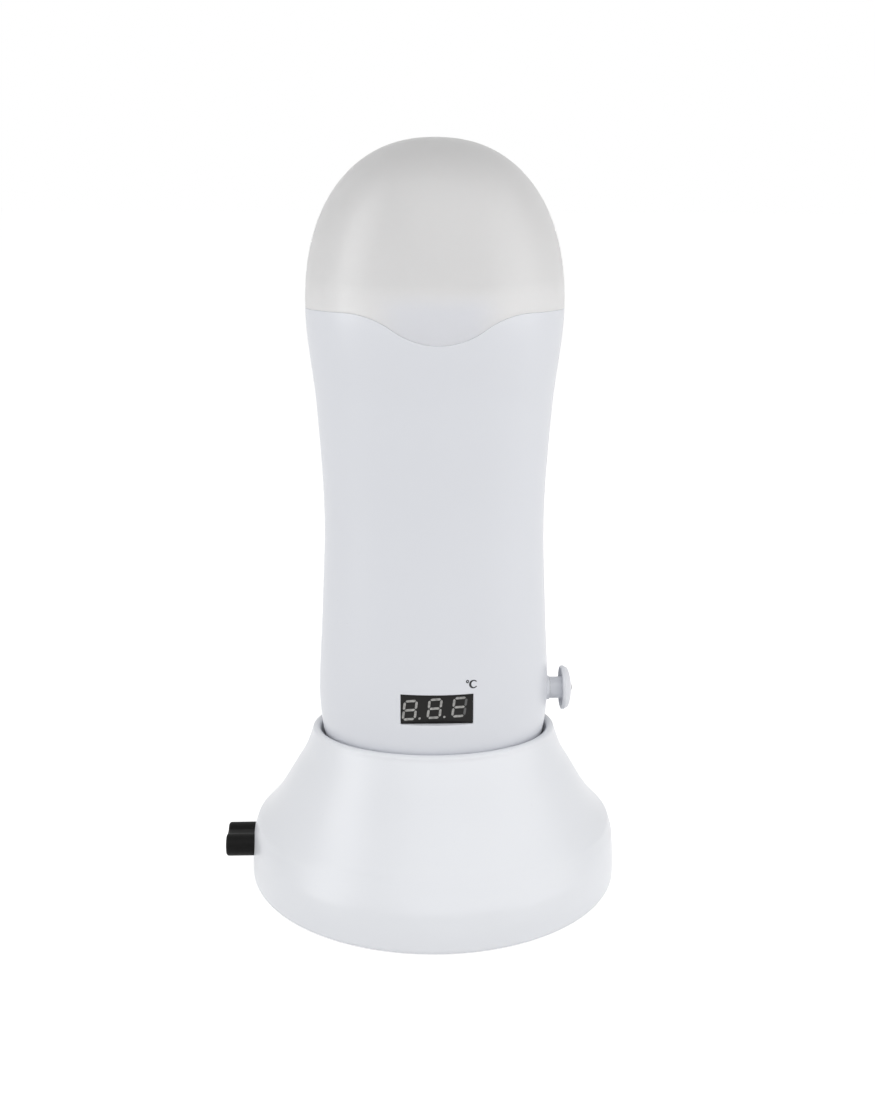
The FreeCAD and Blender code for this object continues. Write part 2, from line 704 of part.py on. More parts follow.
def control_board():
    y = CONTROL_BOARD_Y
    half = CONTROL_BOARD_HALF
    board = block(-half, half, y, y + BOARD_THICK, CONTROL_BOARD_BOTTOM, CONTROL_BOARD_TOP)
    for x, z in board_post_spots():
        board = board.cut(rod_y(SMALL_SCREW_R + SCREW_GAP, x, z, y - 1, y + BOARD_THICK + 1))
    return board


def board_screws():
    seats = [V(x, CONTROL_BOARD_Y, z) for x, z in board_post_spots()]
    return small_screws(seats, BACK, BOARD_THICK + BOARD_SCREW_BITE)


def board_components():
    """Relay, smoothing capacitor and terminal block on the control board's front."""
    y = CONTROL_BOARD_Y
    low = CONTROL_BOARD_BOTTOM
    relay = block(-16, 0, y - 12, y, low + 3, low + 17)
    terminals = block(-9, 9, y - 8, y, low + 31, low + 39)
    capacitor = turned(
        [(0, 0), (4.5, 0), (4.5, 0.6), (5, 1), (5, 13.2), (4.4, 14), (0, 14)], V(8, y, low + 14.5), BACK * -1
    )
    return Part.makeCompound([relay, terminals, capacitor])


def potentiometer():
    """Rotary control: a square body with a bushing that reaches through the shell wall."""
    face = pot_face()
    half = POT_SIZE / 2
    body = block(face - POT_LENGTH, face, -half, half, KNOB_Z - half, KNOB_Z + half)
    bushing_end = half_width(KNOB_Z) + BOSS_RISE - 0.3
    bushing = Part.makeCylinder(BUSHING_R, bushing_end - face, V(face, 0, KNOB_Z), RIGHT)
    bore = Part.makeCylinder(SHAFT_R + SHAFT_CLEARANCE, REACH, V(face - POT_LENGTH + 2, 0, KNOB_Z), RIGHT)
    return body.fuse(bushing).cut(bore)


def knob_back_x():
    return half_width(KNOB_Z) + BOSS_RISE + KNOB_GAP


def knob_tip_x():
    return knob_back_x() + KNOB_NECK + KNOB_HEAD_THICK


def shaft_end_x():
    return knob_tip_x() - SHAFT_SHORT


def potentiometer_shaft():
    start = pot_face() - POT_LENGTH + 2.4
    length = shaft_end_x() - start
    shaft = turned([(0, 0), (SHAFT_R, 0), (SHAFT_R, length), (0, length)], V(start, 0, KNOB_Z), RIGHT)
    thread = Part.makeCylinder(SMALL_SCREW_R, 4.0, V(shaft_end_x() - 4.0, 0, KNOB_Z), RIGHT)
    return shaft.cut(thread)


def temperature_knob():
    """Mushroom knob: neck, undercut head with an eased rim and a domed face, sunk for its screw."""
    tip = KNOB_NECK + KNOB_HEAD_THICK
    back = KNOB_NECK + 0.35
    rim = KNOB_HEAD_R
    profile = [(0, 0), (KNOB_NECK_R, 0), (KNOB_NECK_R, KNOB_NECK), (rim * 0.9, back)]
    profile += [(rim, back + KNOB_RIM * 0.35), (rim, back + KNOB_RIM * 0.65), (rim * 0.92, back + KNOB_RIM)]
    profile += [(rim * 0.62, tip - 0.75), (rim * 0.3, tip), (0, tip)]
    knob = turned(profile, V(knob_back_x(), 0, KNOB_Z), RIGHT)
    axis = V(knob_back_x(), 0, KNOB_Z)
    knob = knob.cut(Part.makeCylinder(SHAFT_R + 0.02, tip - SHAFT_SHORT, axis, RIGHT))
    knob = knob.cut(Part.makeCylinder(SMALL_SCREW_R + SCREW_GAP, tip + 1, axis, RIGHT))
    pocket = axis + RIGHT * (tip - KNOB_SCREW_SUNK - SMALL_HEAD)
    return knob.cut(Part.makeCylinder(SMALL_HEAD_R + SCREW_GAP, REACH, pocket, RIGHT))


def knob_screw():
    seat = V(knob_tip_x() - KNOB_SCREW_SUNK - SMALL_HEAD, 0, KNOB_Z)
    return screw(seat, RIGHT * -1, 4.0, SMALL_SCREW_R - 0.02, SMALL_HEAD_R, SMALL_HEAD)


# ---------------------------------------------------------------- base
def mouth_half(z):
    """The base's mouth and the cup follow the handset at an even gap."""
    return half_width(z) + MOUTH_GAP


def depth_of(half):
    return half - BULGE_HALF + BULGE_HALF_DEPTH


def bell_size(share_x, share_y):
    lip = mouth_half(LIP_Z) + LIP_WALL
    lip_depth = depth_of(lip)
    return lip + (BASE_HALF_WIDTH - lip) * share_x, lip_depth + (BASE_HALF_DEPTH - lip_depth) * share_y


def bell_at(level):
    """Half-width and half-depth of the bell at a level between its foot (0) and its lip (1)."""
    points = [BELL_SHAPE[0]] + list(BELL_SHAPE) + [(1.0, 0.0, 0.0)]
    for below, above in zip(points, points[1:]):
        if level <= above[0]:
            part = (level - below[0]) / (above[0] - below[0]) if above[0] > below[0] else 0.0
            part = max(part, 0.0)
            shares = [below[i] + (above[i] - below[i]) * part for i in (1, 2)]
            return bell_size(*shares)
    return bell_size(0, 0)


def bell_z(level):
    return BASE_BOTTOM_Z + (LIP_Z - BASE_BOTTOM_Z) * level


def bell(inset=0.0):
    """The base's outer form, or the form within it at an inset: straight bands between ovals."""
    edge = BASE_EDGE + inset
    rings = [oval_wire(BASE_HALF_WIDTH - edge, BASE_HALF_DEPTH - edge, BASE_BOTTOM_Z)]
    for level, share_x, share_y in BELL_SHAPE:
        wide, deep = bell_size(share_x, share_y)
        rings.append(oval_wire(wide - inset, deep - inset, bell_z(level)))
    wide, deep = bell_size(0, 0)
    rings.append(oval_wire(wide - inset, deep - inset, LIP_Z))
    return Part.makeLoft(rings, True, True)


def ledge_z():
    """The flat under the mouth that the cradle cup butts against."""
    return LIP_Z - CUP_DROP


def bell_hollow():
    slant = BASE_WALL * 1.17
    skirt = [size - BASE_WALL for size in bell_at(BELL_INNER_LEVELS[0])]
    rings = [oval_wire(*skirt, BASE_BOTTOM_Z - 1)]
    for level in BELL_INNER_LEVELS:
        wide, deep = bell_at(level)
        rings.append(oval_wire(wide - slant, deep - slant, bell_z(level)))
    top = (ledge_z() - BASE_BOTTOM_Z) / (LIP_Z - BASE_BOTTOM_Z)
    wide, deep = bell_at(top)
    cup = cup_levels()[-1][0] + CUP_WALL + CUP_CLEARANCE
    rings.append(oval_wire(max(wide - slant, cup), max(deep - slant, depth_of(cup)), ledge_z()))
    return Part.makeLoft(rings, True, True)


def post_spots():
    reach = FOOT_RING_R - FOOT_RING_WIDTH - POST_INSET
    x = reach * math.cos(math.radians(POST_TURN))
    y = reach * math.sin(math.radians(POST_TURN))
    return [(side_x * x, side_y * y) for side_x in (-1, 1) for side_y in (-1, 1)]


def figure_eight(radius, start, end):
    """A bar of figure-eight section along X: two round lobes side by side and the web between them."""
    half = INLET_PITCH / 2
    rise = radius * 0.72
    lobes = [Part.makeCylinder(radius, end - start, V(start, y, INLET_Z), RIGHT) for y in (-half, half)]
    web = block(start, end, -half, half, INLET_Z - rise, INLET_Z + rise)
    return lobes[0].fuse([lobes[1], web]).removeSplitter()


def base_housing():
    outer = bell()
    mouth = [(mouth_half(z), z) for z in (ledge_z() - 1, LIP_Z)]
    mouth.append((mouth[-1][0], LIP_Z + 1))
    housing = outer.cut(bell_hollow()).cut(oval_solid(mouth))
    skin = bell(BASE_WALL / 2)
    cup_room = cup_form(CUP_CLEARANCE)
    posts = [cylinder(POST_R, COVER_Z + COVER_THICK, ledge_z(), x, y) for x, y in post_spots()]
    housing = housing.fuse([post.common(skin).cut(cup_room) for post in posts])
    hole_top = COVER_Z + COVER_THICK + BASE_SCREW_BITE + 1
    for x, y in post_spots():
        housing = housing.cut(cylinder(SCREW_R + SCREW_GAP, 0, hole_top, x, y))
    return housing.cut(figure_eight(INLET_LOBE_R + FIT_GAP, -REACH, -BASE_HALF_WIDTH / 2))


def cup_levels():
    """The cup's inside, as half-width and height, from its floor to the ledge under the mouth."""
    floor = FOOT_Z - SEAT_GAP
    middle = (floor + ledge_z()) / 2
    return [(mouth_half(z), z) for z in (floor, middle, ledge_z())]


def cup_form(clearance=0.0):
    """The cup's outside with its floor, grown all round by a clearance."""
    outer = [(half + CUP_WALL + clearance, z) for half, z in cup_levels()]
    return oval_solid([(outer[0][0] - 1, outer[0][1] - CUP_FLOOR - clearance)] + outer)


def cradle_cup():
    """The well that receives the handset: it follows the handset's foot and has a floor for it to rest on."""
    inner = cup_levels()
    cup = cup_form().cut(oval_solid(inner + [(inner[-1][0], ledge_z() + 1)]))
    for x in (-CONTACT_X, CONTACT_X):
        cup = cup.cut(cylinder(PIN_R + 0.3, 0, REACH, x))
    return cup


def cup_floor_under():
    return FOOT_Z - SEAT_GAP - CUP_FLOOR


def base_bottom_cover():
    """Screwed-on cover with the ring foot's groove, and two pillars that carry the contact block."""
    inset = BASE_WALL + COVER_CLEARANCE
    wide, deep = bell_at(BELL_INNER_LEVELS[0])
    top = COVER_Z + COVER_THICK
    plate = Part.makeLoft([oval_wire(wide - inset, deep - inset, z) for z in (COVER_Z, top)], True, True)
    pillars = [cylinder(PILLAR_R, top, BLOCK_BOTTOM_Z, x) for x in (-PILLAR_X, PILLAR_X)]
    plate = plate.fuse(pillars)
    groove = cylinder(FOOT_RING_R, 0, COVER_Z + FOOT_RING_SUNK)
    plate = plate.cut(groove.cut(cylinder(FOOT_RING_R - FOOT_RING_WIDTH, -1, REACH)))
    for x, y in post_spots():
        plate = plate.cut(cylinder(SCREW_R + SCREW_GAP, 0, REACH, x, y))
        plate = plate.cut(cylinder(SCREW_HEAD_R + 0.2, 0, top - COVER_SEAT, x, y))
    return plate


def base_screws():
    seat = COVER_Z + COVER_THICK - COVER_SEAT
    length = COVER_SEAT + BASE_SCREW_BITE
    return Part.makeCompound(
        [screw(V(x, y, seat), UP, length, SCREW_R, SCREW_HEAD_R, BASE_SCREW_HEAD) for x, y in post_spots()]
    )


def foot_ring():
    """Flat rubber ring, set in the cover's groove, that the heater stands on."""
    inner = FOOT_RING_R - FOOT_RING_WIDTH
    top = COVER_Z + FOOT_RING_SUNK
    profile = [(inner + 0.2, top), (inner + 0.2, 0.4), (inner + 0.6, 0)]
    profile += [(FOOT_RING_R - 0.6, 0), (FOOT_RING_R - 0.2, 0.4), (FOOT_RING_R - 0.2, top)]
    return turned(profile, V(), UP)


# ---------------------------------------------------------------- contacts of the base
def pin_shoulder_z():
    return PIN_COLLAR_Z + PIN_COLLAR_THICK


def contact_pin(x):
    """Round-nosed brass pin with the collar that keeps it in its block."""
    top = FOOT_Z - TOUCH_GAP
    profile = [(0, PIN_BOTTOM_Z), (PIN_R - 0.5, PIN_BOTTOM_Z), (PIN_R - 0.5, PIN_COLLAR_Z)]
    profile += [(PIN_COLLAR_R, PIN_COLLAR_Z), (PIN_COLLAR_R, pin_shoulder_z())]
    profile += [(PIN_R, pin_shoulder_z()), (PIN_R, top - 1.2)]
    profile += [(PIN_R * 0.87, top - 0.6), (PIN_R * 0.5, top - 0.15), (0, top)]
    return turned(profile, V(x, 0, 0), UP)


def contact_block():
    """Insulating block under the cup: two stepped bores for the pins, with a slot for the leaves below."""
    wide, deep = BLOCK_HALF_WIDTH, BLOCK_HALF_DEPTH
    body = block(-wide, wide, -deep, deep, BLOCK_BOTTOM_Z, cup_floor_under())
    for x in (-CONTACT_X, CONTACT_X):
        body = body.cut(cylinder(PIN_R + PIN_CLEARANCE, 0, REACH, x))
        body = body.cut(cylinder(PIN_COLLAR_R + PIN_CLEARANCE, leaf_low(), pin_shoulder_z(), x))
        side = 1 if x > 0 else -1
        near, far = sorted((side * (CONTACT_X - 4), side * (BLOCK_HALF_WIDTH + 1)))
        half = LEAF_WIDTH / 2 + FIT_GAP
        body = body.cut(block(near, far, -half, half, leaf_low(), PIN_BOTTOM_Z + 0.6))
    return body


def leaf_low():
    """Floor of the slot that the leaf springs lie on."""
    return PIN_BOTTOM_Z - 2.6


def contact_leaf(side):
    """Bent brass leaf: flat on the slot's floor at its outer end, rising to a tip under the pin."""
    low = leaf_low()
    tip = PIN_BOTTOM_Z - TOUCH_GAP
    outer = BLOCK_HALF_WIDTH + 2.0
    bend = BLOCK_HALF_WIDTH - 2.0
    inner = CONTACT_X - 2.0
    thick = LEAF_THICK
    path = [(outer, low), (bend, low), (CONTACT_X + 1.0, tip - thick), (inner, tip - thick)]
    path += [(inner, tip), (CONTACT_X + 1.0, tip), (bend, low + thick), (outer, low + thick)]
    corners = [V(side * x, -LEAF_WIDTH / 2, z) for x, z in path]
    return Part.Face(Part.makePolygon(corners + corners[:1])).extrude(BACK * LEAF_WIDTH)


# ---------------------------------------------------------------- power inlet
def power_inlet():
    """Black figure-eight socket: a shroud that stands out of the base, and its body behind the wall."""
    end = INLET_BODY_X
    shroud = figure_eight(INLET_LOBE_R, INLET_END_X, end)
    half = INLET_PITCH / 2 + INLET_LOBE_R + 1.5
    low = COVER_Z + COVER_THICK + 0.1
    body = block(end, end + INLET_BODY_LENGTH, -half, half, low, INLET_Z + INLET_LOBE_R + 1)
    cavity = figure_eight(INLET_LOBE_R - INLET_WALL, INLET_END_X - 1, INLET_END_X + INLET_PIN_LENGTH + 1)
    socket = shroud.fuse(body).cut(cavity)
    for y in (-INLET_PITCH / 2, INLET_PITCH / 2):
        socket = socket.cut(Part.makeCylinder(INLET_PIN_R + 0.02, REACH, V(INLET_END_X, y, INLET_Z), RIGHT))
    return socket


def inlet_pins():
    start = INLET_END_X + 1.0
    length = INLET_BODY_X + INLET_BODY_LENGTH + INLET_TAIL - start
    profile = [(0, 0), (INLET_PIN_R * 0.6, 0), (INLET_PIN_R, 0.8), (INLET_PIN_R, length), (0, length)]
    seats = [V(start, y, INLET_Z) for y in (-INLET_PITCH / 2, INLET_PITCH / 2)]
    return Part.makeCompound([turned(profile, seat, RIGHT) for seat in seats])


# ---------------------------------------------------------------- build
def main():
    os.makedirs("parts", exist_ok=True)
    form = shaft_hole(shell_form()).cut(cap_region(-SEAM_GAP / 2))
    save("front_shell", front_shell(form))
    save("rear_shell", rear_shell(form))
    save("shell_screws", shell_screws())
    save("handset_bottom_cover", handset_bottom_cover())
    save("contact_studs", contact_studs())
    save("collar", collar())
    save("frosted_cap", frosted_cap())
    save("heating_chamber", heating_chamber())
    save("chamber_screws", chamber_screws())
    save("heater_wrap", heater_wrap())
    save("clamp_bands", clamp_bands())
    save("thermal_fuse", sensor(-SENSOR_OFFSET))
    save("thermistor", sensor(SENSOR_OFFSET))
    save("sensor_clip", sensor_clip())
    save("clip_screw", clip_screw())
    save("led_display", led_display())
    save("display_board", display_board())
    save("display_screws", display_screws())
    save("control_board", control_board())
    save("board_screws", board_screws())
    save("board_components", board_components())
    save("potentiometer", potentiometer())
    save("potentiometer_shaft", potentiometer_shaft())
    save("temperature_knob", temperature_knob())
    save("knob_screw", knob_screw())
    save("base_housing", base_housing())
    save("cradle_cup", cradle_cup())
    save("base_bottom_cover", base_bottom_cover())
    save("base_screws", base_screws())
    save("foot_ring", foot_ring())
    save("contact_block", contact_block())
    for name, side in (("left", -1), ("right", 1)):
        save("contact_pin_" + name, contact_pin(side * CONTACT_X))
        save("contact_leaf_" + name, contact_leaf(side))
    save("power_inlet", power_inlet())
    save("inlet_pins", inlet_pins())


main()
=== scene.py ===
import math

import bmesh
import bpy
from mathutils import Matrix, Vector


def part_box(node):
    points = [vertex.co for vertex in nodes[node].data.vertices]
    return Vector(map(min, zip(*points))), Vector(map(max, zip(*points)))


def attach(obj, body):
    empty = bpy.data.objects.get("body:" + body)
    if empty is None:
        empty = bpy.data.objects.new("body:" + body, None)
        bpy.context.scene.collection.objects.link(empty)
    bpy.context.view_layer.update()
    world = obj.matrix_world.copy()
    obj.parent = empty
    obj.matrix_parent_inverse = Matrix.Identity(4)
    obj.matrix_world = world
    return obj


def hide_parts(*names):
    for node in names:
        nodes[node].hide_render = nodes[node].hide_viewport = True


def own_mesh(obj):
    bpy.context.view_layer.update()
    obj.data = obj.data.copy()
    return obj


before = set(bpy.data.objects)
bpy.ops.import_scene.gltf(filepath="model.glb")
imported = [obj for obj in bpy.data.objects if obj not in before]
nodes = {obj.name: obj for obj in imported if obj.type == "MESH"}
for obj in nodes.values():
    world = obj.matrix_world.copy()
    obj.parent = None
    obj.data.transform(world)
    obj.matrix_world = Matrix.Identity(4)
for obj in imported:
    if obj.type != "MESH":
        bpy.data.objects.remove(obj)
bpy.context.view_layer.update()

mm = 0.001

# ------------------------------------------------------------------ studio
# A pale seamless table under three large soft boxes, in a bright white room.
# The table and the room look whiter to the camera than they light the heater, so its shadow stays.
scene = bpy.context.scene
scene.view_settings.view_transform = "Standard"

eye = Vector((-17.071, -431.894, 222.62)) * mm
aim = Vector((1.055, 0.0, 111.259)) * mm
camera_roll = 0.004
lens_mm = 46.046
sensor_mm = 36.0
camera_data = bpy.data.cameras.new("camera")
camera_data.sensor_fit = "VERTICAL"
camera_data.sensor_height = sensor_mm
camera_data.lens = lens_mm
camera_data.clip_start = 0.02
camera_data.clip_end = 30.0
camera = bpy.data.objects.new("camera", camera_data)
scene.collection.objects.link(camera)
look = (aim - eye).to_track_quat("-Z", "Y").to_matrix().to_4x4()
camera.matrix_world = Matrix.Translation(eye) @ look @ Matrix.Rotation(camera_roll, 4, "Z")
scene.camera = camera


def new_material(name):
    """An empty node material: its node tree, its links, and its Principled shader joined to the output."""
    material = bpy.data.materials.new(name)
    material.use_nodes = True
    tree = material.node_tree
    tree.nodes.clear()
    output = tree.nodes.new("ShaderNodeOutputMaterial")
    shader = tree.nodes.new("ShaderNodeBsdfPrincipled")
    tree.links.new(shader.outputs["BSDF"], output.inputs["Surface"])
    return material, tree, shader


def feed(tree, node, inputs):
    """Fills a node's inputs: each takes a plain value, or the output that drives it."""
    for socket, value in inputs.items():
        if isinstance(value, bpy.types.NodeSocket):
            tree.links.new(value, node.inputs[socket])
        else:
            node.inputs[socket].default_value = value
    return node


def new_node(tree, kind, inputs=None):
    """A shader node of a kind, with its inputs filled."""
    return feed(tree, tree.nodes.new("ShaderNode" + kind), inputs or {})


def reckon(tree, operation, *values):
    """The result of a sum on values and outputs."""
    node = new_node(tree, "Math")
    node.operation = operation
    return feed(tree, node, dict(enumerate(values))).outputs[0]


def mixed(tree, kind, factor, a, b):
    """The way from a to b by a factor; kind says whether they are numbers or colours."""
    node = new_node(tree, "Mix")
    node.data_type = kind
    return feed(tree, node, {"Factor": factor, "A": a, "B": b}).outputs["Result"]


def seen_directly(tree):
    """1 for rays from the camera and those that gloss or glass sends on, 0 for light on its way."""
    path = new_node(tree, "LightPath").outputs
    eye_or_gloss = reckon(tree, "MAXIMUM", path["Is Camera Ray"], path["Is Glossy Ray"])
    return reckon(tree, "MAXIMUM", eye_or_gloss, path["Is Transmission Ray"])


table_glow = 0.66
table_white, table_tree, table_shader = new_material("table white")
feed(table_tree, table_shader, {
    "Base Color": (0.86, 0.86, 0.86, 1),
    "Roughness": 0.9,
    "Specular IOR Level": 0.0,
    "Emission Color": (1, 1, 1, 1),
    "Emission Strength": reckon(table_tree, "MULTIPLY", seen_directly(table_tree), table_glow),
})

table_mesh = bpy.data.meshes.new("table")
reach = 12.0
table_corners = [(-reach, -reach, 0), (reach, -reach, 0), (reach, reach, 0), (-reach, reach, 0)]
table_mesh.from_pydata(table_corners, [], [(0, 1, 2, 3)])
table = bpy.data.objects.new("table", table_mesh)
table_mesh.materials.append(table_white)
scene.collection.objects.link(table)

world = bpy.data.worlds.new("white room")
scene.world = world
world.use_nodes = True
room_tree = world.node_tree
room_tree.nodes.clear()
strength_as_light, strength_as_seen = 0.40, 1.0
room_strength = mixed(room_tree, "FLOAT", seen_directly(room_tree), strength_as_light, strength_as_seen)
room = new_node(room_tree, "Background", {"Color": (1, 1, 1, 1), "Strength": room_strength})
new_node(room_tree, "OutputWorld", {"Surface": room.outputs[0]})


def soft_box(name, place, towards, width, height, watts, colour):
    """A rectangular lamp at a place, in metres, shining towards another."""
    light = bpy.data.lights.new(name, "AREA")
    light.shape = "RECTANGLE"
    light.size = width
    light.size_y = height
    light.energy = watts
    light.color = colour
    box = bpy.data.objects.new(name, light)
    shining = (Vector(towards) - Vector(place)).to_track_quat("-Z", "Y").to_matrix().to_4x4()
    box.matrix_world = Matrix.Translation(place) @ shining
    scene.collection.objects.link(box)


soft_box("left box", (-1.0, -0.42, 0.5), (0, 0, 0.11), 0.5, 1.2, 5.3, (1.0, 1.0, 1.0))
soft_box("right box", (0.97, -0.47, 0.45), (0, 0, 0.11), 0.9, 1.4, 6.6, (1.0, 0.995, 0.99))
soft_box("front box", (0.1, -0.75, 0.9), (0, 0, 0.08), 1.0, 0.8, 2.8, (1.0, 1.0, 1.0))


# ------------------------------------------------------------------ gloss white moulding
# The shells, base and knob are injection moulded in cool white ABS from polished tools.
# Polished ABS still waves a little, shades unevenly and picks up fine dust.
def object_place(tree):
    """Where a point lies in its piece, which the patterns below are laid out in."""
    return new_node(tree, "TexCoord").outputs["Object"]


def cloud(tree, place, scale, detail, roughness=0.5, name="noise"):
    """A named cloud pattern laid out in a place, from 0 to 1."""
    texture = new_node(tree, "TexNoise", {"Vector": place, "Scale": scale, "Detail": detail})
    texture.inputs["Roughness"].default_value = roughness
    texture.name = name
    return texture.outputs["Fac"]


def stretched(tree, value, ends):
    """A value stretched from one span to another; each end that isn't given is 0 or 1."""
    return new_node(tree, "MapRange", {"Value": value, **ends}).outputs["Result"]


def surface(tree, shader, colour, roughness, height, relief):
    """Gives a shader its colour, its roughness and a relief so many millimetres deep."""
    bump = new_node(tree, "Bump", {"Height": height, "Distance": relief * mm})
    feed(tree, shader, {"Base Color": colour, "Roughness": roughness, "Normal": bump.outputs["Normal"]})


def moulded_skin_group():
    """Colour, roughness and height of a polished moulding: slow shade drift, fine dust and tool waviness."""
    group = bpy.data.node_groups.new("moulded skin", "ShaderNodeTree")
    socket = group.interface.new_socket
    socket("Colour", in_out="INPUT", socket_type="NodeSocketColor")
    for name, usual in (("Shade drift", 0.03), ("Dust", 0.1), ("Roughness", 0.2), ("Grain size", 0.4)):
        socket(name, in_out="INPUT", socket_type="NodeSocketFloat").default_value = usual
    socket("Colour", in_out="OUTPUT", socket_type="NodeSocketColor")
    for name in ("Roughness", "Height"):
        socket(name, in_out="OUTPUT", socket_type="NodeSocketFloat")
    given = group.nodes.new("NodeGroupInput").outputs
    place = object_place(group)

    drift = cloud(group, place, 22.0, 2.0, name="shade drift")
    centred = reckon(group, "SUBTRACT", drift, 0.5)
    amount = reckon(group, "MULTIPLY_ADD", centred, given["Shade drift"], 1.0)
    shaded = new_node(group, "VectorMath")
    shaded.operation = "SCALE"
    feed(group, shaded, {0: given["Colour"], "Scale": amount})

    speck = new_node(group, "TexVoronoi", {"Vector": place, "Scale": 420.0}).outputs["Distance"]
    speck = stretched(group, speck, {"From Min": 0.09, "From Max": 0.05})
    patch = cloud(group, place, 60.0, 3.0, 0.65, "dust patches")
    patch = stretched(group, patch, {"From Min": 0.56, "From Max": 0.7})
    dusty = reckon(group, "MULTIPLY", reckon(group, "MULTIPLY", speck, patch), given["Dust"])
    dust_colour = (0.36, 0.35, 0.33, 1)
    colour = mixed(group, "RGBA", dusty, shaded.outputs["Vector"], dust_colour)

    rubbed = reckon(group, "MULTIPLY_ADD", centred, 0.12, given["Roughness"])
    dulled = reckon(group, "MULTIPLY_ADD", dusty, 0.5, rubbed)

    grain = cloud(group, place, 900.0, 2.0, 0.6, "grain")
    waves = cloud(group, place, 75.0, 1.0, 0.4, "tool waviness")
    height = reckon(group, "ADD", reckon(group, "MULTIPLY", grain, given["Grain size"]), waves)
    feed(group, group.nodes.new("NodeGroupOutput"), {"Colour": colour, "Roughness": dulled, "Height": height})
    return group


moulded_skin = moulded_skin_group()


def moulding(name, colour, roughness, drift=0.03, dust=0.25, grain=0.15, relief=0.012, shine=0.5):
    """A moulded plastic: its colour, its polish and how far its skin drifts, dusts and waves."""
    material, tree, shader = new_material(name)
    skin = tree.nodes.new("ShaderNodeGroup")
    skin.node_tree = moulded_skin
    feed(tree, skin, {"Colour": (*colour, 1), "Shade drift": drift, "Dust": dust})
    feed(tree, skin, {"Roughness": roughness, "Grain size": grain})
    made = skin.outputs
    surface(tree, shader, made["Colour"], made["Roughness"], made["Height"], relief)
    shader.inputs["Specular IOR Level"].default_value = shine
    return material


white_gloss = moulding("white gloss ABS", (0.72, 0.735, 0.775), 0.33)

# ------------------------------------------------------------------ handset shells
# Two waisted oval halves in white ABS, 2.2 mm thick, split front and rear along the sides.
# Four screws from behind pull them together round the heater; the front half has the display window.
widths_up_the_side = [
    (26.0, 31.0), (44.5, 34.7), (55.0, 36.7), (66.0, 37.2), (90.0, 35.95),
    (123.0, 34.8), (157.0, 36.65), (187.0, 39.6),
]
handset_foot = 26.0
foot_chamfer = 1.2
straight_top = 176.0
seam_height = 187.0
widest = 37.2
deepest = 27.3
shell_wall = 2.2
mould_edge = 0.22


def natural_slopes(points):
    """Slopes of the smooth curve through the points, level at its upper end."""
    slopes = []
    for i in range(len(points)):
        before, after = points[max(i - 1, 0)], points[min(i + 1, len(points) - 1)]
        slopes.append((after[1] - before[1]) / (after[0] - before[0]))
    slopes[-1] = 0.0
    return slopes


side_slopes = natural_slopes(widths_up_the_side)


def cubic(low, high, t, start, end, span):
    """A smooth rise from low to high at a share t of the span, with its slopes at both ends."""
    rise = (2 * t**3 - 3 * t**2 + 1) * low + (3 * t**2 - 2 * t**3) * high
    return rise + ((t**3 - 2 * t**2 + t) * start + (t**3 - t**2) * end) * span


def half_width(z):
    """Half the handset's width at a height, in millimetres."""
    z = min(max(z, handset_foot), seam_height)
    for i in range(len(widths_up_the_side) - 1):
        low, high = widths_up_the_side[i], widths_up_the_side[i + 1]
        if z <= high[0]:
            span = high[0] - low[0]
            return cubic(low[1], high[1], (z - low[0]) / span, side_slopes[i], side_slopes[i + 1], span)
    return widths_up_the_side[-1][1]


def oval_point(turn, out):
    """A point of the plan oval whose outward direction is turn, moved straight outwards."""
    c, s = math.cos(turn), math.sin(turn)
    size = math.hypot(widest * c, deepest * s)
    return widest**2 * c / size + out * c, deepest**2 * s / size + out * s


def skin_point(turn, z, out=0.0):
    """A point of the handset's surface at a turn and a height, moved outwards."""
    x, y = oval_point(turn, half_width(z) - widest + out)
    return Vector((x, y, z))


tongue_half = 27.5
tongue_dip = 8.8
seam_gap = 0.04


def seam_z(x, y):
    """Height of the parting line under the cap: level, with a tongue of two easy curves at the front."""
    across = abs(x)
    if y > 0 or across >= tongue_half:
        return seam_height
    radius = (tongue_half**2 + tongue_dip**2) / (4 * tongue_dip)
    if across < tongue_half / 2:
        return seam_height - tongue_dip + radius - math.sqrt(radius**2 - across**2)
    return seam_height - radius + math.sqrt(radius**2 - (tongue_half - across) ** 2)


def seam_at(turn, out, shift):
    """Height of the parting line where it crosses the surface at a turn."""
    x, y = oval_point(turn, half_width(seam_height) - widest + out)
    return seam_z(x, y) + shift


def round_turns(count):
    """That many turns all the way round."""
    return [2 * math.pi * i / count for i in range(count)]


def number_rows(points, rows):
    """Adds rows of points to a list, and gives the numbers that they have in it."""
    numbered = []
    for row in rows:
        numbered.append(list(range(len(points), len(points) + len(row))))
        points.extend(row)
    return numbered


def quads_between(lower, upper, closed):
    """Faces between two rows of vertices."""
    count = len(lower)
    last = count if closed else count - 1
    return [(lower[i], lower[(i + 1) % count], upper[(i + 1) % count], upper[i]) for i in range(last)]


def piece_from(name, points, faces, material, sharp=38.0):
    """A smooth-shaded piece from millimetre points, sharp only where it turns more than an angle."""
    mesh = bpy.data.meshes.new(name)
    mesh.from_pydata([tuple(c * mm for c in p) for p in points], [], faces)
    edit = bmesh.new()
    edit.from_mesh(mesh)
    bmesh.ops.remove_doubles(edit, verts=edit.verts, dist=1e-7)
    bmesh.ops.recalc_face_normals(edit, faces=edit.faces)
    edit.to_mesh(mesh)
    edit.free()
    mesh.shade_smooth()
    mesh.set_sharp_from_angle(angle=math.radians(sharp))
    mesh.materials.append(material)
    piece = bpy.data.objects.new(name, mesh)
    scene.collection.objects.link(piece)
    return piece


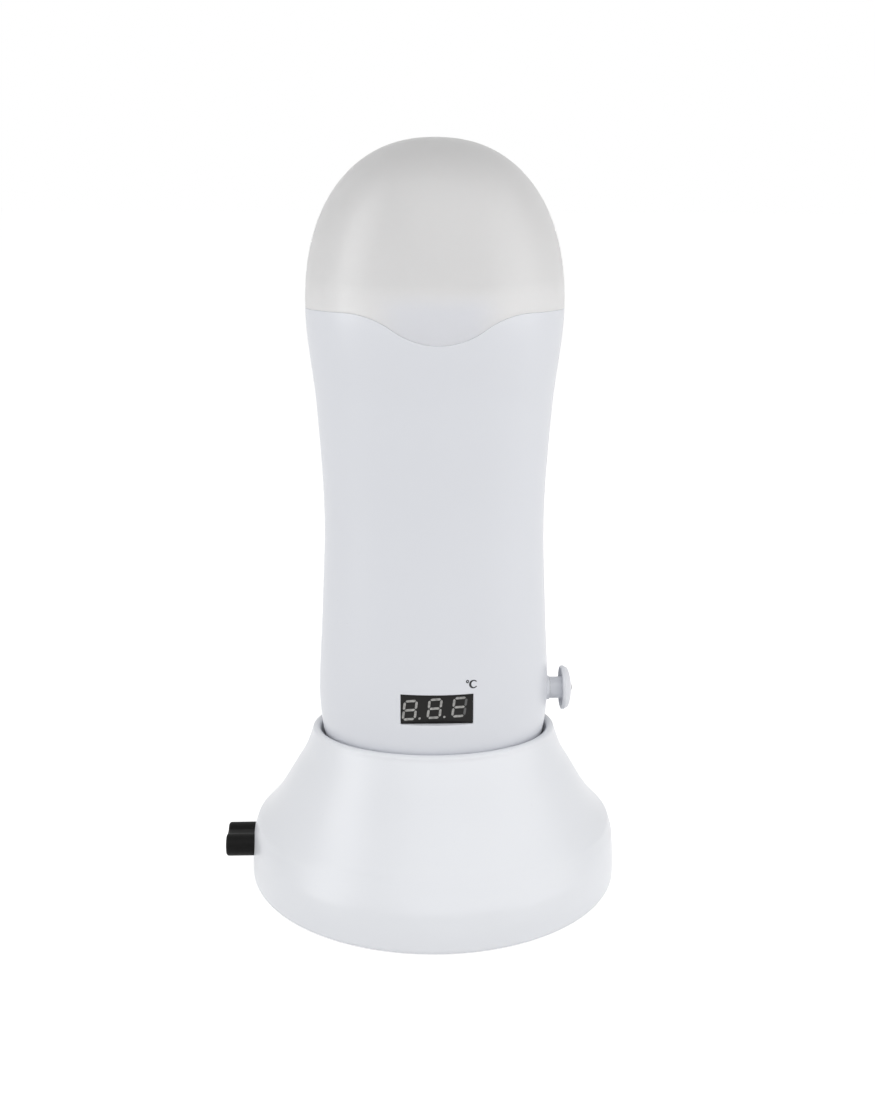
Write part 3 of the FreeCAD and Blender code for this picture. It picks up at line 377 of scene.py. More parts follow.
def apply_modifiers(piece):
    """Keeps what the piece's modifiers make as its plain mesh."""
    bpy.context.view_layer.update()
    seen = piece.evaluated_get(bpy.context.evaluated_depsgraph_get())
    mesh = bpy.data.meshes.new_from_object(seen)
    piece.modifiers.clear()
    piece.data = mesh


def soften_edges(piece, width, segments=3, angle=40.0):
    """Rounds the piece's sharp edges, as a mould's edges are."""
    bevel = piece.modifiers.new("soft edges", "BEVEL")
    bevel.width = width * mm
    bevel.segments = segments
    bevel.limit_method = "ANGLE"
    bevel.angle_limit = math.radians(angle)
    apply_modifiers(piece)
    piece.data.shade_smooth()
    piece.data.set_sharp_from_angle(angle=math.radians(50))


window_half_width = 11.4
window_low = 60.95
window_high = 70.85


def window_turn(x):
    """The turn at which the front surface has that x."""
    low, high = math.radians(180), math.radians(360)
    for _ in range(40):
        middle = (low + high) / 2
        if oval_point(middle, 0.0)[0] < x:
            low = middle
        else:
            high = middle
    return (low + high) / 2


def shell_half(name, start, end, with_window):
    """One half of the handset: outer and inner skins between two turns, joined round every edge."""
    columns, levels = 72, 60
    level_foot = handset_foot + foot_chamfer
    turns = [start + (end - start) * i / columns for i in range(columns + 1)]
    heights = [level_foot + (straight_top - level_foot) * i / levels for i in range(levels + 1)]
    if with_window:
        edges = [window_turn(-window_half_width), window_turn(window_half_width)]
        sills = [window_low, window_high]
        too_near_turn, too_near_height = 0.012, 0.7
        turns = sorted([t for t in turns if min(abs(t - e) for e in edges) > too_near_turn] + edges)
        heights = sorted([z for z in heights if min(abs(z - s) for s in sills) > too_near_height] + sills)
    points, faces, skins = [], [], []
    for out in (0.0, -shell_wall):
        foot_out = out - foot_chamfer if out == 0.0 else out
        rows = [[skin_point(t, handset_foot, foot_out) for t in turns]]
        rows += [[skin_point(t, z, out) for t in turns] for z in heights]
        climbs = [(t, seam_at(t, out, -seam_gap / 2) - straight_top) for t in turns]
        for step in (0.33, 0.66, 1.0):
            rows.append([skin_point(t, straight_top + climb * step, out) for t, climb in climbs])
        skins.append(number_rows(points, rows))
    outer, inner = skins
    holes = set()
    if with_window:
        left, right = turns.index(edges[0]), turns.index(edges[1])
        low, high = heights.index(window_low) + 1, heights.index(window_high) + 1
        holes = {(i, j) for i in range(low, high) for j in range(left, right)}
    for skin in (outer, inner):
        for i in range(len(skin) - 1):
            for j in range(len(turns) - 1):
                if (i, j) not in holes:
                    faces.append((skin[i][j], skin[i][j + 1], skin[i + 1][j + 1], skin[i + 1][j]))
    for row in (0, -1):
        faces += quads_between(outer[row], inner[row], False)
    for column in (0, -1):
        faces += quads_between([row[column] for row in outer], [row[column] for row in inner], False)
    if with_window:
        for row in (low, high):
            faces += quads_between(outer[row][left : right + 1], inner[row][left : right + 1], False)
        for column in (left, right):
            wall_out = [outer[i][column] for i in range(low, high + 1)]
            wall_in = [inner[i][column] for i in range(low, high + 1)]
            faces += quads_between(wall_out, wall_in, False)
    shell = piece_from(name, points, faces, white_gloss)
    soften_edges(shell, mould_edge)
    return shell


front_half = shell_half("handset_front", math.pi, 2 * math.pi, True)
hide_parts("front_shell")
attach(front_half, "handset")

rear_half = shell_half("handset_rear", 0.0, math.pi, False)
screw_wells = [(side * x, z) for x, z in ((24.0, 39.0), (27.0, 77.0)) for side in (-1, 1)]
well_radius = 3.0
well_wall = 1.2
seat_low, seat_high, well_mouth = 5.0, 6.0, 13.0
screw_hole_radius = 1.5


def facing(direction):
    """The turn that points a thing's +Z along a direction."""
    return Vector(direction).to_track_quat("Z", "Y").to_matrix().to_4x4()


def cutter_from(name, edit, middle, direction):
    """A cutting tool drawn round the origin along Z, put in its place along a direction."""
    mesh = bpy.data.meshes.new(name)
    edit.to_mesh(mesh)
    edit.free()
    cutter = bpy.data.objects.new(name, mesh)
    cutter.matrix_world = Matrix.Translation(middle) @ facing(direction)
    scene.collection.objects.link(cutter)
    return cutter


def rod_cutter(name, radius, start, direction, length, sides=48):
    """A plain rod used to bore a hole in a piece."""
    edit = bmesh.new()
    bmesh.ops.create_cone(
        edit, cap_ends=True, segments=sides, radius1=radius * mm, radius2=radius * mm, depth=length * mm
    )
    return cutter_from(name, edit, (Vector(start) + Vector(direction) * length / 2) * mm, direction)


def bore(piece, cutter):
    """Cuts the cutter out of the piece, and throws the cutter away."""
    cut = piece.modifiers.new("bore", "BOOLEAN")
    cut.operation = "DIFFERENCE"
    cut.solver = "EXACT"
    cut.object = cutter
    apply_modifiers(piece)
    bpy.data.objects.remove(cutter)
    piece.data.shade_smooth()
    piece.data.set_sharp_from_angle(angle=math.radians(38))


for x, z in screw_wells:
    bore(rear_half, rod_cutter("well cutter", well_radius, (x, seat_low, z), (0, 1, 0), 40.0))
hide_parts("rear_shell")
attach(rear_half, "handset")


def turned_piece(name, profile, start, direction, material, sides=96, sharp=38.0):
    """A lathe-turned piece: (radius, distance) pairs about an axis, all in millimetres."""
    points, faces, rows = [], [], []
    for radius, along in profile:
        turns = round_turns(sides) if radius > 1e-6 else [0.0]
        rows.append([Vector((radius * math.cos(t), radius * math.sin(t), along)) for t in turns])
    rows = number_rows(points, rows)
    for lower, upper in zip(rows, rows[1:]):
        if len(lower) == 1:
            faces += [(lower[0], upper[i], upper[(i + 1) % sides]) for i in range(sides)]
        elif len(upper) == 1:
            faces += [(lower[i], lower[(i + 1) % sides], upper[0]) for i in range(sides)]
        else:
            faces += quads_between(lower, upper, True)
    turn = facing(direction).to_3x3()
    points = [turn @ p + Vector(start) for p in points]
    return piece_from(name, points, faces, material, sharp)


def sleeve(name, inner, outer, low, high, x, z):
    """A plain tube of shell plastic along the depth, between two distances from the parting plane."""
    section = [(inner, low), (outer, low), (outer, high), (inner, high), (inner, low)]
    tube = turned_piece(name, section, (x, 0, z), (0, 1, 0), white_gloss, sides=48)
    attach(tube, "handset")


for i, (x, z) in enumerate(screw_wells):
    sleeve("screw_well_%d" % i, well_radius, well_radius + well_wall, seat_high, well_mouth, x, z)
    sleeve("screw_seat_%d" % i, screw_hole_radius, well_radius + well_wall, seat_low, seat_high, x, z)


# ------------------------------------------------------------------ shaft boss
# A low round boss, moulded on the shells' right side in the same white ABS. It carries the control's shaft
# out through the parting line.
def even_turns(start, end, steps):
    """Evenly spaced turns between two angles in degrees, given in radians."""
    return [math.radians(start + (end - start) * i / steps) for i in range(steps + 1)]


def oval_path(x, z, across, up, turns):
    """Points of an oval at the given turns."""
    return [(x + across * math.cos(t), z + up * math.sin(t)) for t in turns]


def arc(centre, radius, start, end, steps):
    """Profile points along an arc, in degrees."""
    return oval_path(*centre, radius, radius, even_turns(start, end, steps))


knob_z = 63.2
boss_bore, boss_root, boss_rise = 3.35, 1.5, 0.65
boss_profile = [(boss_bore, -boss_root), (4.0, -boss_root), (3.95, 0.2)]
boss_profile += arc((3.65, boss_rise - 0.3), 0.3, 0, 90, 4)
boss_profile += [(boss_bore + 0.05, boss_rise), (boss_bore, boss_rise - 0.05), (boss_bore, -boss_root)]
boss = turned_piece("shaft_boss", boss_profile, (half_width(knob_z), 0, knob_z), (1, 0, 0), white_gloss)
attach(boss, "handset")

# ------------------------------------------------------------------ temperature knob
# A white ABS mushroom knob, moulded with a hollow behind its head. It is pushed on the control's shaft
# and held by one small screw in a pocket of its face.
knob_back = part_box("temperature_knob")[0][0] / mm
shell_side = half_width(knob_z) - knob_back
neck_foot = shell_side + 0.74
bushing_room = shell_side + 1.2
neck_end = 41.6 - knob_back
crown = 45.1 - knob_back
neck_radius = 3.55
counterbore = 3.38
shaft_bore = 2.1
head_radius = 7.2
head_back = neck_end + 0.1
rim_thickness = 1.3
back_round, front_round = 0.3, 0.45
hollow_floor = neck_end + 1.15
pocket_radius, pocket_depth = 1.6, 0.6
knob_profile = [(shaft_bore, bushing_room), (counterbore, bushing_room), (counterbore, neck_foot)]
knob_profile += [(neck_radius - 0.05, neck_foot), (neck_radius, neck_foot + 0.08)]
knob_profile += [(neck_radius, neck_end), (neck_radius, hollow_floor - 0.2)]
knob_profile.append((neck_radius + 0.15, hollow_floor))
knob_profile += [(6.2, hollow_floor - 0.1), (6.5, hollow_floor - 0.4), (6.6, neck_end + 0.05)]
knob_profile += arc((head_radius - back_round, head_back + 0.25), back_round, -90, 0, 5)
dome_foot = head_back + rim_thickness
knob_profile += arc((head_radius - front_round, dome_foot - front_round), front_round, 0, 62, 6)
for turn in (24, 34, 44, 54, 64, 72):
    rise = math.sin(math.radians(turn)) ** 1.1
    knob_profile.append((head_radius * math.cos(math.radians(turn)), dome_foot + (crown - dome_foot) * rise))
knob_profile += [(pocket_radius + 0.15, crown - 0.03), (pocket_radius + 0.02, crown - 0.1)]
knob_profile += [(pocket_radius, crown - pocket_depth), (0.0, crown - pocket_depth)]
knob = turned_piece("temperature_knob_cap", knob_profile, (knob_back, 0, knob_z), (1, 0, 0), white_gloss)
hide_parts("temperature_knob")
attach(knob, "knob")


# ------------------------------------------------------------------ screws
# Pan-head screws with a cross recess and a ridged shank: four in zinc plate hold the shells from behind,
# and a small blackened one holds the knob.
def shades(tree, value, stops):
    """A colour that follows a value through stops of (position, colour)."""
    ramp = new_node(tree, "ValToRGB", {"Fac": value})
    bands = ramp.color_ramp.elements
    while len(bands) < len(stops):
        bands.new(0.5)
    for band, (at, colour) in zip(bands, stops):
        band.position = at
        band.color = (*colour, 1)
    return ramp.outputs["Color"]


def brushed_metal(name, colour, roughness, scale, relief=0.01):
    """A plated or rolled metal with fine directionless marks."""
    material, tree, shader = new_material(name)
    marks = cloud(tree, object_place(tree), scale, 4.0, 0.7, "marks")
    shade = shades(tree, marks, [(0.3, [c * 0.72 for c in colour]), (0.62, colour)])
    rough = stretched(tree, marks, {"To Min": roughness * 0.75, "To Max": roughness * 1.3})
    surface(tree, shader, shade, rough, marks, relief)
    shader.inputs["Metallic"].default_value = 1.0
    return material


zinc = brushed_metal("zinc plate", (0.62, 0.62, 0.64), 0.32, 700.0)
black_oxide = brushed_metal("black oxide steel", (0.05, 0.05, 0.052), 0.4, 900.0)


def cross_screw(name, seat, direction, shank_length, shank_radius, head_radius, head_height):
    """A pan-head screw with a cross recess; seat is under its head and direction is along its shank."""
    along = Vector(direction)
    ridge_pitch, recess_margin = 0.8, 0.3
    profile = [(0.0, -head_height)]
    for a in range(8, 90, 9):
        swell = 0.45 + 0.55 * math.cos(math.radians(a))
        profile.append((head_radius * math.sin(math.radians(a)), -head_height * swell))
    profile += [(head_radius, -head_height * 0.4), (head_radius, 0.0), (shank_radius, 0.0)]
    for i in range(int(shank_length / ridge_pitch)):
        z = 0.3 + i * ridge_pitch
        profile += [(shank_radius, z), (shank_radius * 0.78, z + ridge_pitch / 2)]
    profile += [(shank_radius * 0.7, shank_length - 0.4), (0.0, shank_length)]
    screw = turned_piece(name, profile, seat, direction, zinc, sides=40)
    top = Vector(seat) - along * (head_height + recess_margin)
    slot = Vector((head_radius * 1.15, head_radius * 0.26, (head_height * 0.75 + recess_margin) * 2)) * mm
    for spin in (0, 90):
        edit = bmesh.new()
        bmesh.ops.create_cube(edit, size=1.0)
        turned_slot = Matrix.Rotation(math.radians(spin), 4, "Z") @ Matrix.Diagonal((*slot, 1))
        bmesh.ops.transform(edit, matrix=turned_slot, verts=edit.verts)
        bore(screw, cutter_from("recess cutter", edit, top * mm, along))
    return screw


screw_lift = 0.02
for i, (x, z) in enumerate(screw_wells):
    seat = (x, seat_high + screw_lift, z)
    screw = cross_screw("shell_screw_%d" % i, seat, (0, -1, 0), 13.9, 1.35, 2.7, 1.6)
    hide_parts("shell_screws")
    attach(screw, "handset")

pocket_floor = (knob_back + crown - pocket_depth, 0, knob_z)
screw_head = cross_screw("knob_face_screw", pocket_floor, (-1, 0, 0), 3.4, 0.95, 1.5, 0.95)
screw_head.data.materials[0] = black_oxide
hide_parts("knob_screw")
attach(screw_head, "knob")

# ------------------------------------------------------------------ display
# A three-digit seven-segment module in black resin, unlit, set a little crooked behind the window.
# Its segments are pale diffuser windows that slant to the right, each digit with its point; the third digit's
# right segments are painted darker as shadow.
display_low, display_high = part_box("led_display")
face_y = display_low[1] / mm
display_black = moulding("display resin", (0.006, 0.0055, 0.005), 0.3, 0.2, 0.3, 0.5, 0.01, shine=0.22)


def rounded_block(name, low, high, width, material):
    """A moulded block with every edge rounded."""
    corners = [(x, y, z) for x in (low[0], high[0]) for y in (low[1], high[1]) for z in (low[2], high[2])]
    sides = [(0, 1, 3, 2), (4, 6, 7, 5), (0, 4, 5, 1), (2, 3, 7, 6), (0, 2, 6, 4), (1, 5, 7, 3)]
    made = piece_from(name, corners, sides, material)
    soften_edges(made, width)
    return made


display_corners = [[c / mm for c in corner] for corner in (display_low, display_high)]
display_body = rounded_block("display_module", *display_corners, 0.3, display_black)
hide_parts("led_display")
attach(display_body, "handset")


def mottled(name, pattern, scale, stops, roughness):
    """Resin or ink whose shade is a little uneven."""
    material, tree, shader = new_material(name)
    mottling = cloud(tree, object_place(tree), scale, 3.0, 0.6, pattern)
    feed(tree, shader, {"Base Color": shades(tree, mottling, stops), "Roughness": roughness})
    return material


def segment_resin(name, colour):
    """Unlit segment resin: grey and milky."""
    return mottled(name, "milkiness", 1500.0, [(0.35, [c * 0.55 for c in colour]), (0.65, colour)], 0.35)


segment_grey = segment_resin("segment resin", (0.41, 0.405, 0.39))
# Painted shadow: a dark copy of the segment resin, standing in for the shadow of the window's edge.
segment_painted_shadow = segment_resin("segment resin in painted shadow", (0.11, 0.11, 0.11))
digit_width = 3.7
digit_height = 5.9
digit_pitch = 7.7
bar = 0.74
bar_gap = 0.2
point_radius = 0.36
tile_proud, tile_depth = 0.03, 0.25
window_middle = -0.35
window_rise = 0.1
slant = math.tan(math.radians(9.5))
crooked = math.radians(3.2)
segment_ends = {
    "top": ((0, 2), (1, 2)), "middle": ((0, 1), (1, 1)), "bottom": ((0, 0), (1, 0)),
    "upper_left": ((0, 1), (0, 2)), "lower_left": ((0, 0), (0, 1)),
    "upper_right": ((1, 1), (1, 2)), "lower_right": ((1, 0), (1, 1)),
}


def segment_outline(start, end):
    """A pointed bar between two corners of the digit, a little short of each."""
    a, b = Vector(start), Vector(end)
    along = (b - a).normalized()
    side = Vector((-along[1], along[0])) * bar / 2
    a, b = a + along * bar_gap, b - along * bar_gap
    tip = along * bar / 2
    return [a, a + tip + side, b - tip + side, b, b - tip - side, a + tip - side]


def on_display(x, z, proud):
    """From the module's own plane to the heater's frame: slanted, then turned with the crooked module."""
    x += z * slant
    return (
        x * math.cos(crooked) - z * math.sin(crooked) + window_middle,
        face_y - proud,
        x * math.sin(crooked) + z * math.cos(crooked) + (window_low + window_high) / 2 + window_rise,
    )


def on_face(name, outline, material):
    """A thin tile of resin let into the module's face, its front a hair proud of it."""
    count = len(outline)
    points = [on_display(x, z, proud) for proud in (tile_proud, -tile_depth) for x, z in outline]
    faces = [tuple(range(count)), tuple(range(count, 2 * count))]
    faces += [(i, (i + 1) % count, count + (i + 1) % count, count + i) for i in range(count)]
    tile = piece_from(name, points, faces, material)
    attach(tile, "handset")


for digit in range(3):
    middle_x = (digit - 1) * digit_pitch + window_middle
    for name, ends in segment_ends.items():
        corners = [((x - 0.5) * digit_width + middle_x, (z - 1) * digit_height / 2) for x, z in ends]
        # Painted shadow: the third digit's two right segments take the dark copy, for the shadow of the
        # window's edge.
        shaded = digit == 2 and name in ("upper_right", "lower_right")
        outline = [(p[0], p[1]) for p in segment_outline(*corners)]
        on_face("digit_%d_%s" % (digit + 1, name), outline, segment_painted_shadow if shaded else segment_grey)
    if digit < 2:
        x, z = middle_x + digit_width / 2 + 1.5, -digit_height / 2
        dot = oval_path(x, z, point_radius, point_radius, round_turns(20))
        on_face("digit_%d_point" % (digit + 1), dot, segment_grey)

# ------------------------------------------------------------------ unit mark
# The degree mark above the window's right end: a small ring and a letter C in dark ink, pad-printed on
# the front shell.
ink_stops = [(0.0, (0.008, 0.008, 0.01)), (1.0, (0.03, 0.03, 0.035))]
ink = mottled("pad print ink", "ink coverage", 2500.0, ink_stops, 0.5)
ink_thickness = 0.03


def printed_strip(name, path, widths):
    """A stroke of ink along a path of (x, z), lying on the front shell; its width changes along the way."""
    points, faces = [], []
    for i, (x, z) in enumerate(path):
        before, after = Vector(path[max(i - 1, 0)]), Vector(path[min(i + 1, len(path) - 1)])
        along = (after - before).normalized()
        side = Vector((-along[1], along[0])) * widths[i] / 2
        for corner in (Vector((x, z)) + side, Vector((x, z)) - side):
            points.append(skin_point(window_turn(corner[0]), corner[1], ink_thickness))
        if i:
            faces.append((2 * i - 2, 2 * i - 1, 2 * i + 1, 2 * i))
    stroke = piece_from(name, points, faces, ink)
    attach(stroke, "handset")


hairline = 0.34
mark_turns, letter_turns = even_turns(0, 360, 20), even_turns(38, 322, 28)
letter_widths = [0.36 + 0.34 * max(0.0, -math.cos(t)) for t in letter_turns]
printed_strip("unit_mark_ring", oval_path(9.45, 74.95, 0.34, 0.36, mark_turns), [hairline] * 21)
printed_strip("unit_mark_letter", oval_path(11.4, 74.0, 1.12, 1.16, letter_turns), letter_widths)

# ------------------------------------------------------------------ collar
# A white nylon ring between shells and cap: it guides the cap, frames the cartridge mouth, and its nib
# snaps into the cap's tongue.
collar_white = moulding("white nylon", (0.82, 0.825, 0.85), 0.4, grain=0.6, relief=0.015)
collar_low, collar_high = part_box("collar")
collar_foot = collar_low[2] / mm
collar_top = collar_high[2] / mm
collar_out = -2.3
collar_wall = 1.8
collar_in = collar_out - collar_wall
deck_low = 180.0
deck_high = 182.0
mouth_half_width = 28.0
mouth_half_depth = 19.5


def piece_through(name, rows, material, loop=True):
    """A piece skinned through closed rows of points: round to its first row again, or capped at both ends."""
    points, faces = [], []
    numbered = number_rows(points, rows)
    for lower, upper in zip(numbered, numbered[1:] + (numbered[:1] if loop else [])):
        faces += quads_between(lower, upper, True)
    if not loop:
        faces += [tuple(numbered[0]), tuple(numbered[-1])]
    return piece_from(name, points, faces, material)


def collar_ring():
    """The ring: up its outside, over its rounded rim, down inside to the deck, round its mouth and back."""
    turns = round_turns(144)

    def ring(out, z):
        return [skin_point(t, z, out) for t in turns]

    def mouth(z, ease=0.0):
        wide, deep = mouth_half_width + ease, mouth_half_depth + ease
        points = []
        for t in turns:
            size = math.hypot(wide * math.cos(t), deep * math.sin(t))
            points.append(Vector((wide**2 * math.cos(t) / size, deep**2 * math.sin(t) / size, z)))
        return points

    rows = [ring(collar_out, collar_foot + (seam_height - collar_foot) * i / 12) for i in range(13)]
    rows.append(ring(collar_out - 0.35, collar_top - 0.9))
    for out, down in ((-0.55, 0.45), (-0.8, 0.15), (-1.05, 0.02), (-1.4, 0.06), (-1.7, 0.3)):
        rows.append(ring(collar_out + out, collar_top - down))
    rows += [ring(collar_in, z) for z in (collar_top - 0.8, seam_height, deck_high + 0.6)]
    rows += [ring(collar_in - 0.2, deck_high + 0.15), ring(collar_in - 0.6, deck_high)]
    rows += [mouth(deck_high, 0.4), mouth(deck_high - 0.1, 0.1), mouth(deck_high - 0.4), mouth(deck_low)]
    rows += [ring(collar_in, deck_low - (deck_low - collar_foot) * i / 8) for i in range(9)]
    return piece_through("collar_ring", rows, collar_white)


ring_piece = collar_ring()
deck_screw_x = mouth_half_width + 3.3
deck_hole_radius = 1.1
for side in (-1, 1):
    screw_foot = (side * deck_screw_x, 0, deck_low - 1)
    bore(ring_piece, rod_cutter("deck hole cutter", deck_hole_radius, screw_foot, (0, 0, 1), 4.0))
nib_half_width = 3.0
nib_low = 181.5
nib_high = 184.1
nib_back = skin_point(1.5 * math.pi, (nib_low + nib_high) / 2, collar_out)[1]
nib = rounded_block(
    "collar_nib",
    (-nib_half_width, nib_back - 1.6, nib_low),
    (nib_half_width, nib_back + 0.5, nib_high),
    0.3,
    collar_white,
)
for piece in (ring_piece, nib):
    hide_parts("collar")
    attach(piece, "handset")

# ------------------------------------------------------------------ frosted cap
# A lift-off dome moulded in milky polypropylene, 2 mm thick. It drops over the collar down to the
# parting line, and a pocket inside its tongue takes the nib.
cap_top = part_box("frosted_cap")[1][2] / mm
cap_wall = 2.0
cap_fullness = 2.25


def dome_point(turn, climb, inset):
    """A point of the dome: climb runs from 0 at the parting line's level to 90 degrees at the top."""
    rise = math.sin(math.radians(climb)) ** (2 / cap_fullness)
    across = max(math.cos(math.radians(climb)), 0.0) ** (2 / cap_fullness)
    x, y = oval_point(turn, half_width(seam_height) - widest - inset)
    return Vector((x * across, y * across, seam_height + (cap_top - inset - seam_height) * rise))


def frosted_cap():
    """The dome's outer and inner skins, each from the parting line to its top, joined along the line."""
    sides = 144
    turns = round_turns(sides)
    climbs = [0.35] + [90 * (i / 44) for i in range(1, 44)]
    points, faces, skins = [], [], []
    for inset in (0.0, cap_wall):
        seam = [seam_at(t, -inset, seam_gap / 2) for t in turns]
        rows = []
        for step in (0.0, 0.4, 0.8):
            heights = [z + (seam_height + 0.2 - z) * step for z in seam]
            rows.append([skin_point(t, z, -inset) for t, z in zip(turns, heights)])
        rows += [[dome_point(t, climb, inset) for t in turns] for climb in climbs]
        numbered = number_rows(points, rows)
        for lower, upper in zip(numbered, numbered[1:]):
            faces += quads_between(lower, upper, True)
        top = len(points)
        points.append(Vector((0, 0, cap_top - inset)))
        faces += [(numbered[-1][i], numbered[-1][(i + 1) % sides], top) for i in range(sides)]
        skins.append(numbered)
    faces += quads_between(skins[0][0], skins[1][0], True)
    return piece_from("frosted_dome", points, faces, milky_plastic)


milky_plastic, milky_tree, milky_shader = new_material("milky polypropylene")
milky_place = object_place(milky_tree)
milky_axes = new_node(milky_tree, "SeparateXYZ", {"Vector": milky_place}).outputs
milky_low, milky_high = 178.0, 237.0
milky_clouding = 0.06
# Painted light and shade: the cap's colour is pale over the collar and darkens up the dome, standing in for
# how light falls through and on it.
milky_painted_bands = [
    # share of the cap's height, shade: painted light, palest over the collar, then painted shade, greyer
    # towards the top
    (0.0, 0.97), (0.2, 0.985), (0.27, 0.955), (0.33, 0.90), (0.5, 0.865), (0.8, 0.80), (1.0, 0.69),
]
cloudiness = cloud(milky_tree, milky_place, 18.0, 2.0, 0.5, "cloudiness")
milky_climb = stretched(milky_tree, milky_axes["Z"], {"From Min": milky_low * mm, "From Max": milky_high * mm})
milky_up = reckon(milky_tree, "MULTIPLY_ADD", cloudiness, milky_clouding, milky_climb)
milky_stops = [(place_up, (shade, shade * 0.996, shade * 0.996)) for place_up, shade in milky_painted_bands]
milky_colour = shades(milky_tree, milky_up, milky_stops)

# Painted light: in the tongue's middle the colour is mixed towards a pale cool tint, standing in for the lit
# collar seen through the wall; it fades out sideways, upwards and backwards.
painted_collar_light_reach = (("X", 9.0, 21.0), ("Z", 187.0, 194.5), ("Y", -10.0, 0.0))
painted_collar_light_mask = None
for axis, full, gone in painted_collar_light_reach:
    along_axis = reckon(milky_tree, "ABSOLUTE", milky_axes["X"]) if axis == "X" else milky_axes[axis]
    ends = {"From Min": gone * mm, "From Max": full * mm}
    reach_in = new_node(milky_tree, "MapRange", {"Value": along_axis, **ends})
    reach_in.interpolation_type = "SMOOTHSTEP"
    reached = reach_in.outputs["Result"]
    painted_collar_light_mask = reckon(milky_tree, "MULTIPLY", painted_collar_light_mask, reached) if painted_collar_light_mask else reached
painted_collar_light = (0.925, 0.935, 0.975, 1)
milky_colour = mixed(milky_tree, "RGBA", painted_collar_light_mask, milky_colour, painted_collar_light)

frosting = cloud(milky_tree, milky_place, 1200.0, 2.0, 0.6, "frosting")
milky_rough = stretched(milky_tree, frosting, {"To Min": 0.3, "To Max": 0.4})
surface(milky_tree, milky_shader, milky_colour, milky_rough, frosting, 0.004)
feed(milky_tree, milky_shader, {"Transmission Weight": 0.36, "IOR": 1.52})

dome = frosted_cap()
pocket_side, pocket_rise = 0.6, 0.9
pocket = rounded_block(
    "nib pocket cutter",
    (-nib_half_width - pocket_side, nib_back - 1.85, seam_height - 14),
    (nib_half_width + pocket_side, nib_back + 1.2, nib_high + pocket_rise),
    0.25,
    milky_plastic,
)
bore(dome, pocket)
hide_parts("frosted_cap")
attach(dome, "cap")

# ------------------------------------------------------------------ base housing
# A bell of white gloss ABS: an oval mouth that swells into a round drum, moulded in one with its
# rolled lip. Four screws from underneath hold the bottom cover to posts inside it.
base_low, base_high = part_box("base_housing")
base_half_width = base_high[0] / mm
base_half_depth = base_high[1] / mm
base_foot = base_low[2] / mm
lip_top = base_high[2] / mm
lip_foot = 50.2
mouth_gap = 1.1
front_gap = 0.34
bell_wall = 2.7
# Painted light: the same white ABS as the shells, made about 6% lighter, standing in for extra light on the
# base's front slopes.
base_gloss_painted_lighter = moulding("white gloss ABS painted lighter", (0.765, 0.78, 0.812), 0.32)
bell_outline = [
    # height, half-width, half-depth
    (1.3, 60.2, 59.0), (5.6, 60.11, 58.85), (11.7, 59.85, 57.4), (15.7, 59.5, 54.7), (18.0, 58.8, 52.5),
    (19.4, 58.35, 51.15), (20.3, 57.6, 50.4), (21.2, 56.75, 49.75), (22.8, 55.25, 48.4), (25.4, 53.05, 46.35),
    (28.95, 50.6, 43.6), (33.5, 47.9, 40.4), (38.1, 45.2, 37.5), (42.7, 42.5, 34.7), (47.2, 40.7, 31.7),
    (lip_foot, 39.7, 29.5),
]


def smooth_through(points, x, column):
    """A smooth curve through table points that never overshoots them."""
    for i in range(len(points) - 1):
        low, high = points[i], points[i + 1]
        if x <= high[0]:
            break
    span = high[0] - low[0]

    def slope(k):
        if k == 0:
            return 0.0
        before = (points[k][column] - points[k - 1][column]) / (points[k][0] - points[k - 1][0])
        if k == len(points) - 1:
            return before
        after = (points[k + 1][column] - points[k][column]) / (points[k + 1][0] - points[k][0])
        return 0.0 if before * after <= 0 else 2 * before * after / (before + after)

    return cubic(low[column], high[column], (x - low[0]) / span, slope(i), slope(i + 1), span)


def bell_ring(z):
    """Half-width and half-depth of the bell's outside at a height."""
    return smooth_through(bell_outline, z, 1), smooth_through(bell_outline, z, 2)


def base_bell():
    """The bell: up its outside, over its rolled lip, down the mouth, and back down inside to its foot."""
    turns = round_turns(160)
    rows = []

    def ring(wide, deep, z):
        rows.append([Vector((wide * math.cos(t), deep * math.sin(t), z)) for t in turns])

    def mouth_size(z):
        return half_width(z) + mouth_gap, half_width(z) - widest + deepest + front_gap

    for inset, up in ((2.4, 0.0), (0.9, 0.0), (0.3, 0.25)):
        ring(base_half_width - inset, base_half_depth - inset, base_foot + up)
    z = bell_outline[0][0]
    while z < lip_foot:
        ring(*bell_ring(z), z)
        z += 0.35 if 17.0 < z < 24.0 else 0.9
    wide, deep = bell_ring(lip_foot)
    in_wide, in_deep = mouth_size(lip_foot)
    ring(wide, deep, lip_foot)
    for a in range(10, 171, 16):
        share, rise = 0.5 + 0.5 * math.cos(math.radians(a)), math.sin(math.radians(a))
        up = lip_foot + (lip_top - lip_foot) * rise
        ring(in_wide + (wide - in_wide) * share, in_deep + (deep - in_deep) * share, up)
    ring(in_wide, in_deep, lip_foot)
    for z in (lip_top - 3.0, lip_top - 6.0):
        ring(*mouth_size(z), z)
    for z in (44.0, 40.0, 35.0, 30.0, 26.0, 22.0, 19.0, 15.0, 10.0, 5.0):
        wide, deep = bell_ring(z)
        ring(wide - bell_wall, deep - bell_wall, z)
    return piece_through("base_bell", rows, base_gloss_painted_lighter)


bell = base_bell()
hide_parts("base_housing")
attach(bell, "base")

